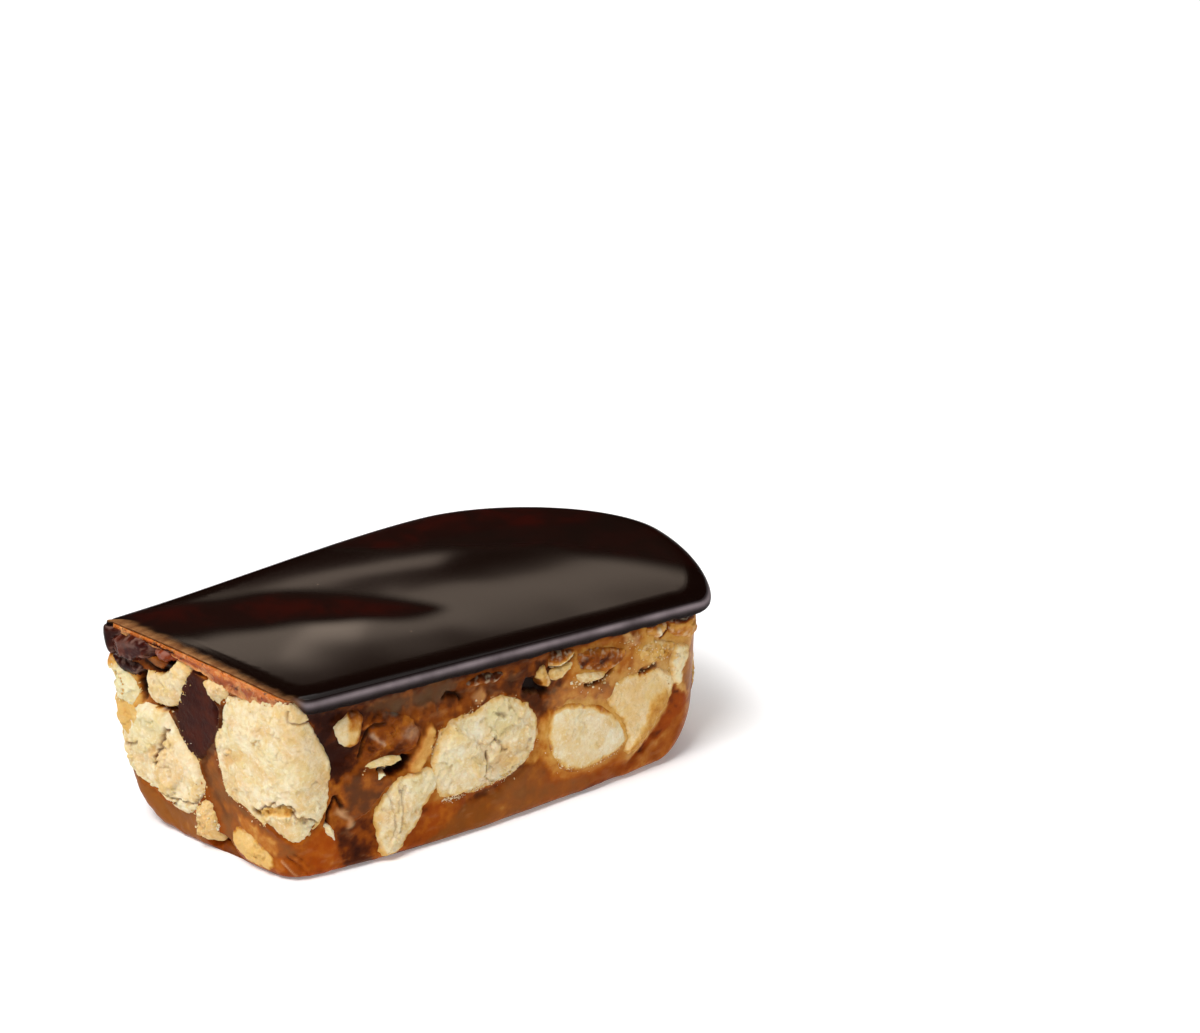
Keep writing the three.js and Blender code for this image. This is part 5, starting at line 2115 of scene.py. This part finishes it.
    # The front's right: a hollow painted black as shade, orange faces, milky nuts and an orange stripe down
    # to the amber end.
    Mark(RIGHT, AREA, (-3.6, 3.3, -3.6, 5, -1, 5.2, 3, 4.6, 6.5, 5.6, 10.5, 5.8, 11, 2, 8.5, 0, 6, -3, 3.9,
         -2.6, 3.9, 0.2, 2.8, 2, -0.8, 3.2), 1.2, 0, {SYRUP: 0.3, MILK: 0.1, HAZE_AND_HIGHLIGHT: 0.15, ORANGE: 0}, MASS,
         0.5),
    Mark(RIGHT, AREA, (-7.5, 7, -4.8, 7.5, -2.6, 6.6, -2.6, 4.8, -3.6, 3.2, -4.4, 2.6, -5.2, 3.8, -6.6, 5),
         1.2, 0.05, {SYRUP: 0.82, MILK: 0.1, ORANGE: 0}, MASS, 0.5),
    Mark(RIGHT, AREA, (-5.6, 6.4, -4.8, 6.2, -3.5, 4.7, -4, 4.6, -5.2, 5.1, -6, 5.6), 0.3, 0.6, {CRACK_SHADE: 1,
         SYRUP: 1}, On.ALL, 0.2),
    Mark(CHIP, LINE, (-0.8, 0.15, 0, -0.05, 0.7, 0.15, 1.3, 0.6), 0.09, 0.35, {CRACK_SHADE: 0.9}, On.ALL, 0.08),
    Mark(HUSK, LINE, (-1.3, -1.4, -0.2, -1.5, 0.7, -1.1, 1.2, -0.8), 0.13, 0.5, {CRACK_SHADE: 1, SYRUP: 0.9},
         On.ALL, 0.1),
    Mark(HUSK, LINE, (-1.7, 0.5, -1.4, 0.5), 0.4, 0.1, {SYRUP: 0.72}, NUTS, 0.3),
    Mark(HUSK, LINE, (0.2, 0.3, 0.6, 0.3), 0.4, 0.1, {SYRUP: 0.72}, NUTS, 0.3),
    Mark(RIGHT, AREA, (-3.2, 4.7, -1.4, 4.8, 0.3, 4.4, 2.8, 3.8, 3, 2.8, 2.3, 2.6, 0.3, 3.5, -1.8, 3.8,
         -2.9, 3.3), 0.5, -0.2, {SYRUP: 0.5, MILK: 0.15, HAZE_AND_HIGHLIGHT: 0.14, ORANGE: 0}, MASS, 0.4),
    Mark(RIGHT, AREA, (-4.8, 2.3, -3.8, 3.1, -3.7, 0.8, -4.4, -0.4, -5.9, -0.5, -5.2, 0.6), 0.4, 0,
         {SYRUP: 0.36, ORANGE: 0.1, MILK: 0}, MASS, 0.25),
    Mark(RIGHT, AREA, (-7.4, -0.6, -4.4, -0.6, -3.4, -2.6, 2, -3, 1, -5, -9, -5), 1, 0, {MILK: 0.6,
         SYRUP: 0.62, HAZE_AND_HIGHLIGHT: 0.04}, MASS, 0.3),
    Mark(FAR, AREA, (-0.9, -0.2, 0.8, -0.4, 1, -1.1, -0.5, -3, -1.7, -5, -3, -4.9, -2.4, -3.7, -1.5, -2.5),
         0.5, -0.1, {SYRUP: 0.3, MILK: 0.3}, On.ALL, 0.25),
    Mark(FAR, AREA, (1.2, 0.1, 1.8, -0.8, 3.2, -1.7, 2.2, -2.9, 0.2, -4.4, -1.2, -5.2, -2.1, -5.5, -0.4,
         -3.5, 0.9, -1.9), 0.4, 0.12, {SYRUP: 0.68, ORANGE: 1, MILK: 0, HAZE_AND_HIGHLIGHT: 0}, On.ALL, 0.2),
    Mark(FAR, AREA, (3.4, -1.7, 4, -2.9, 3.8, -5, 2.5, -7, -1.5, -7, -1.2, -5.8, -0.1, -4.4, 1.6, -3.1),
         0.6, 0, {SYRUP: 0.46, ORANGE: 0.5, MILK: 0.2}, MASS, 0.2),
    Mark(FAR, AREA, (4.8, 2.6, 4.2, 0.3, 3.4, -1.3, 2.2, -0.5, 2.3, 1.6, 3, 2.8), 0.5, 0.05, {SYRUP: 0.5,
         MILK: 0.3, ORANGE: 0}, MASS, 0.25),
    Mark(FAR, LINE, (-1.9, 1.7, -0.7, 1.9), 0.22, 0.3, {SYRUP: 0.85, CRACK_SHADE: 0.5}, On.ALL, 0.25),
    # Painted highlight: a pale glint line beside the crack.
    Mark(FAR, LINE, (-0.3, 1.5, 0.4, 0.8, 0.9, 0.2), 0.3, -0.1, {HAZE_AND_HIGHLIGHT: 0.45}, On.ALL, 0.3),
    Mark(AMBER, AREA, (-3.7, 1.4, -2.2, 0.7, -2.4, 0, -3.6, 0.4), 0.4, -0.15, {HAZE_AND_HIGHLIGHT: 0.5, SYRUP: 0.4,
         MILK: 0.3}, On.ALL, 0.3),
    # Painted highlight: a pale glint line beside the syrup line.
    Mark(AMBER, LINE, (-0.6, 0.8, -0.4, 0.3), 0.16, -0.1, {HAZE_AND_HIGHLIGHT: 0.8}, On.ALL, 0.1),
    Mark(AMBER, LINE, (0.3, 1.5, 0.35, 0.5, -0.2, 0.1), 0.12, 0.3, {SYRUP: 0.8}, On.ALL, 0.1),
)

TRAILS = (
    Trail(MIDDLE, (-3.9, -2.95, -2.8, -3.05, -1.8, -3.1), 130, (0.05, 0.16), 0.1, 0.7),
    Trail(MIDDLE, (-1.9, -2.75, 0, -2.8, 1.6, -2.7, 2.9, -1.9, 4.3, -0.6), 380, (0.05, 0.18), 0.11, 0.45),
    Trail(MIDDLE, (-4.6, 0.8, -4.1, 2.3, -1.4, 3.2, 0.9, 4, 2.8, 3.2), 75, (0.05, 0.22), 0.15, 0.2),
    Trail(RIGHT, (-3.7, 0.8, -2.4, -1.6, 1.2, -2.2, 3.2, -1.6), 90, (0.05, 0.18), 0.14, 0.5),
    Trail(LARGE, (-3.7, 2, -4.1, -0.5, -3.3, -3, 0.6, -4.3), 60, (0.05, 0.2), 0.15, 0.1),
    Trail(LARGE, (-3.3, 4.2, -1, 5.2, 1.5, 6), 75, (0.05, 0.25), 0.15, 0.2),
    Trail(LOWER, (1, 3.1, 3.4, 0.5, 3.4, -2.2, 1.2, -3.8, -2, -3.5), 70, (0.05, 0.22), 0.12, 0.1),
    Trail(UPPER, (2.4, 2, 1.1, -0.9, -1.2, -1.5), 40, (0.05, 0.25), 0.15, 0.1),
    Trail(SCRAP, (-2, -2.4, -1.6, -1.2, -1.2, 0, 0.6, 0.6, 0.5, -1.8), 75, (0.05, 0.32), 0.15, 0.1),
    Trail(CORNER, (1.6, 1.1, 2.7, 0.2, 1.9, -1.3), 45, (0.05, 0.3), 0.15, 0.1),
    Trail(HUSK, (-2.9, -0.8, -1, -1.4, 0.8, -1.5), 60, (0.05, 0.28), 0.2, 0.6),
    Trail(AMBER, (-3.4, 0.8, -2, -0.4, 0.6, -1.4), 90, (0.05, 0.3), 0.4, 0.5, 0.1),
    Trail(FAR, (-4.2, 1.4, -1.5, 1.6, 1.2, 0.6), 75, (0.05, 0.26), 0.3, 0.4, 0.1),
    Trail(SKIN, (-3, -1.2, 0.3, -1.3), 18, (0.05, 0.2), 0.12, 0.3),
)

SWELLS = (
    Swell(AREA, (-22, 9, -16.5, 6.2, -10, 4.9, -5.9, 2.4, -2.6, -1.2, -0.3, -4.6, -3.8, -4.9, -9.6, -1.8,
          -14, -0.6, -22, 1), 3.6, 0, 1),
    Swell(LINE, (-16, -1.5, -11, -4.5, -2, -7), 2.4, 0.008),
    Swell(AREA, (1, 5.6, 4.2, 4.3, 7.7, 2.7, 11, 0.8, 13.8, -1.8, 16.3, -4.7, 18.7, -7.9, 20, -10.5, 24,
          -10, 24, 14, -2, 14), 3.6, 0, 0.75),
    Swell(AREA, (-22, 9, -12, 9.5, -3, 8.4, 6, 7.6, 14, 5.5, 20, 3, 22, 14, -22, 14), 3.2, 0, 0.62),
    Swell(LINE, (-20, -11.4, 0, -11.6, 20, -10.5), 0.5, 0, 0.5),
)


# Stage

WARM = (1.0, 0.8, 0.64)


@dataclass(frozen=True)
class Softbox:
    """A soft light that faces the bar.

    azimuth is in degrees round from behind the bar, to the left, and elevation in degrees above the
    floor. size and away are in metres. power is in watts.
    """

    name: str
    azimuth: float
    elevation: float
    size: Pair
    power: float
    tone: tuple[float, float, float] = (1.0, 1.0, 1.0)
    away: float = 1.2

    def hang(self) -> None:
        """Hangs the light."""
        light = bpy.data.lights.new(self.name, "AREA")
        light.shape = "RECTANGLE"
        light.size, light.size_y = self.size
        light.energy = self.power
        light.color = self.tone
        lamp = put(self.name, light)
        a, e = math.radians(self.azimuth), math.radians(self.elevation)
        towards = Vector((-math.sin(a) * math.cos(e), math.cos(a) * math.cos(e), math.sin(e)))
        lamp.location = towards * self.away
        lamp.rotation_euler = (-lamp.location).to_track_quat("-Z", "Y").to_euler()


@dataclass
class Studio:
    """The floor, the lights and the camera."""

    distance: float = 0.25
    azimuth: float = math.radians(-35.85)
    elevation: float = math.radians(22)
    aim: tuple[float, float, float] = (0.01349, -0.00438, 0.01079)
    lens: float = 100.0
    sensor: float = 36.0
    floor_reach: float = 0.9
    floor_drop: float = 0.00004
    lights: tuple[Softbox, ...] = (
        Softbox("gloss", -24, 28.3, (0.38, 0.062), 0.061, WARM),
        Softbox("gloss_right", -38, 28.1, (0.21, 0.056), 0.028, WARM),
        Softbox("gloss_dim", -27, 23.8, (0.3, 0.035), 0.024, WARM),
        Softbox("key", 116, 59, (0.5, 0.45), 12.6),
        Softbox("fill", 192, 36, (0.6, 0.5), 1.0),
        Softbox("low", 216, 16, (0.5, 0.12), 0.6),
        Softbox("overhead", 10, 80, (0.8, 0.8), 4.0),
        Softbox("far", -80, 76, (0.9, 0.9), 2.5, away=1.3),
        Softbox("behind", 60, 40, (0.9, 0.8), 2.5, away=1.3),
    )

    def floor(self) -> bpy.types.Object:
        """Builds the pale floor."""
        reach = self.floor_reach
        mesh = bpy.data.meshes.new("floor")
        corners = ((-reach, -reach), (reach, -reach), (reach, reach), (-reach, reach))
        mesh.from_pydata([(x, y, -self.floor_drop) for x, y in corners], [], [(0, 1, 2, 3)])
        floor = put("floor", mesh)
        pale = bpy.data.materials.new("floor")
        pale.use_nodes = True
        sockets = pale.node_tree.nodes["Principled BSDF"].inputs
        sockets["Base Color"].default_value = (0.9, 0.9, 0.9, 1.0)
        sockets["Roughness"].default_value = 0.8
        sockets["Emission Color"].default_value = (1.0, 1.0, 1.0, 1.0)
        sockets["Emission Strength"].default_value = 0.2
        mesh.materials.append(pale)
        return floor

    def world(self) -> None:
        """Sets a pale surround for the eye that gives little light itself, so that the gloss stays deep."""
        world = bpy.data.worlds.new("studio")
        bpy.context.scene.world = world
        world.use_nodes = True
        world.node_tree.nodes.clear()
        board = Board(world.node_tree)
        seen = board.add("ShaderNodeLightPath").outputs["Is Camera Ray"]
        tone = board.mix(seen, (0.02, 0.008, 0.006, 1), (1.0, 1.0, 1.0, 1))
        light = board.add("ShaderNodeBackground", {"Color": tone, "Strength": 1.0})
        board.feed(board.add("ShaderNodeOutputWorld").inputs["Surface"], light.outputs[0])

    def camera(self) -> None:
        """Sets the camera at its angles, aimed to the upper right of the bar's middle."""
        data = bpy.data.cameras.new("camera")
        data.lens = self.lens
        data.sensor_width = self.sensor
        data.clip_start = 0.01
        camera = put("camera", data)
        a, e = self.azimuth, self.elevation
        ahead = Vector((-math.sin(a) * math.cos(e), math.cos(a) * math.cos(e), -math.sin(e)))
        low, high = Vector(CAD_BOX[0]), Vector(CAD_BOX[1])
        camera.location = (low + high) / 2 + Vector(self.aim) - ahead * self.distance
        camera.rotation_euler = ahead.to_track_quat("-Z", "Y").to_euler()
        bpy.context.scene.camera = camera

    def build(self) -> None:
        """Sets the whole stage."""
        self.floor()
        self.world()
        for light in self.lights:
            light.hang()
        self.camera()
        bpy.context.scene.view_settings.view_transform = "Standard"


def main() -> None:
    """Builds the chew and its stage in order."""
    logging.basicConfig(level=logging.INFO, format="%(name)s: %(message)s")
    larder = Larder(Effects())
    bar = Bar(BarForm())
    relief = Relief(bar, LUMPS, MARKS)
    pieces = Filling(bar, relief, larder).build()
    Crumbs(bar, larder, TRAILS).build(pieces)
    Toffee(bar, larder).build()
    Glaze(bar, larder, SWELLS).build()
    Studio().build()


if __name__ == "__main__":
    main()
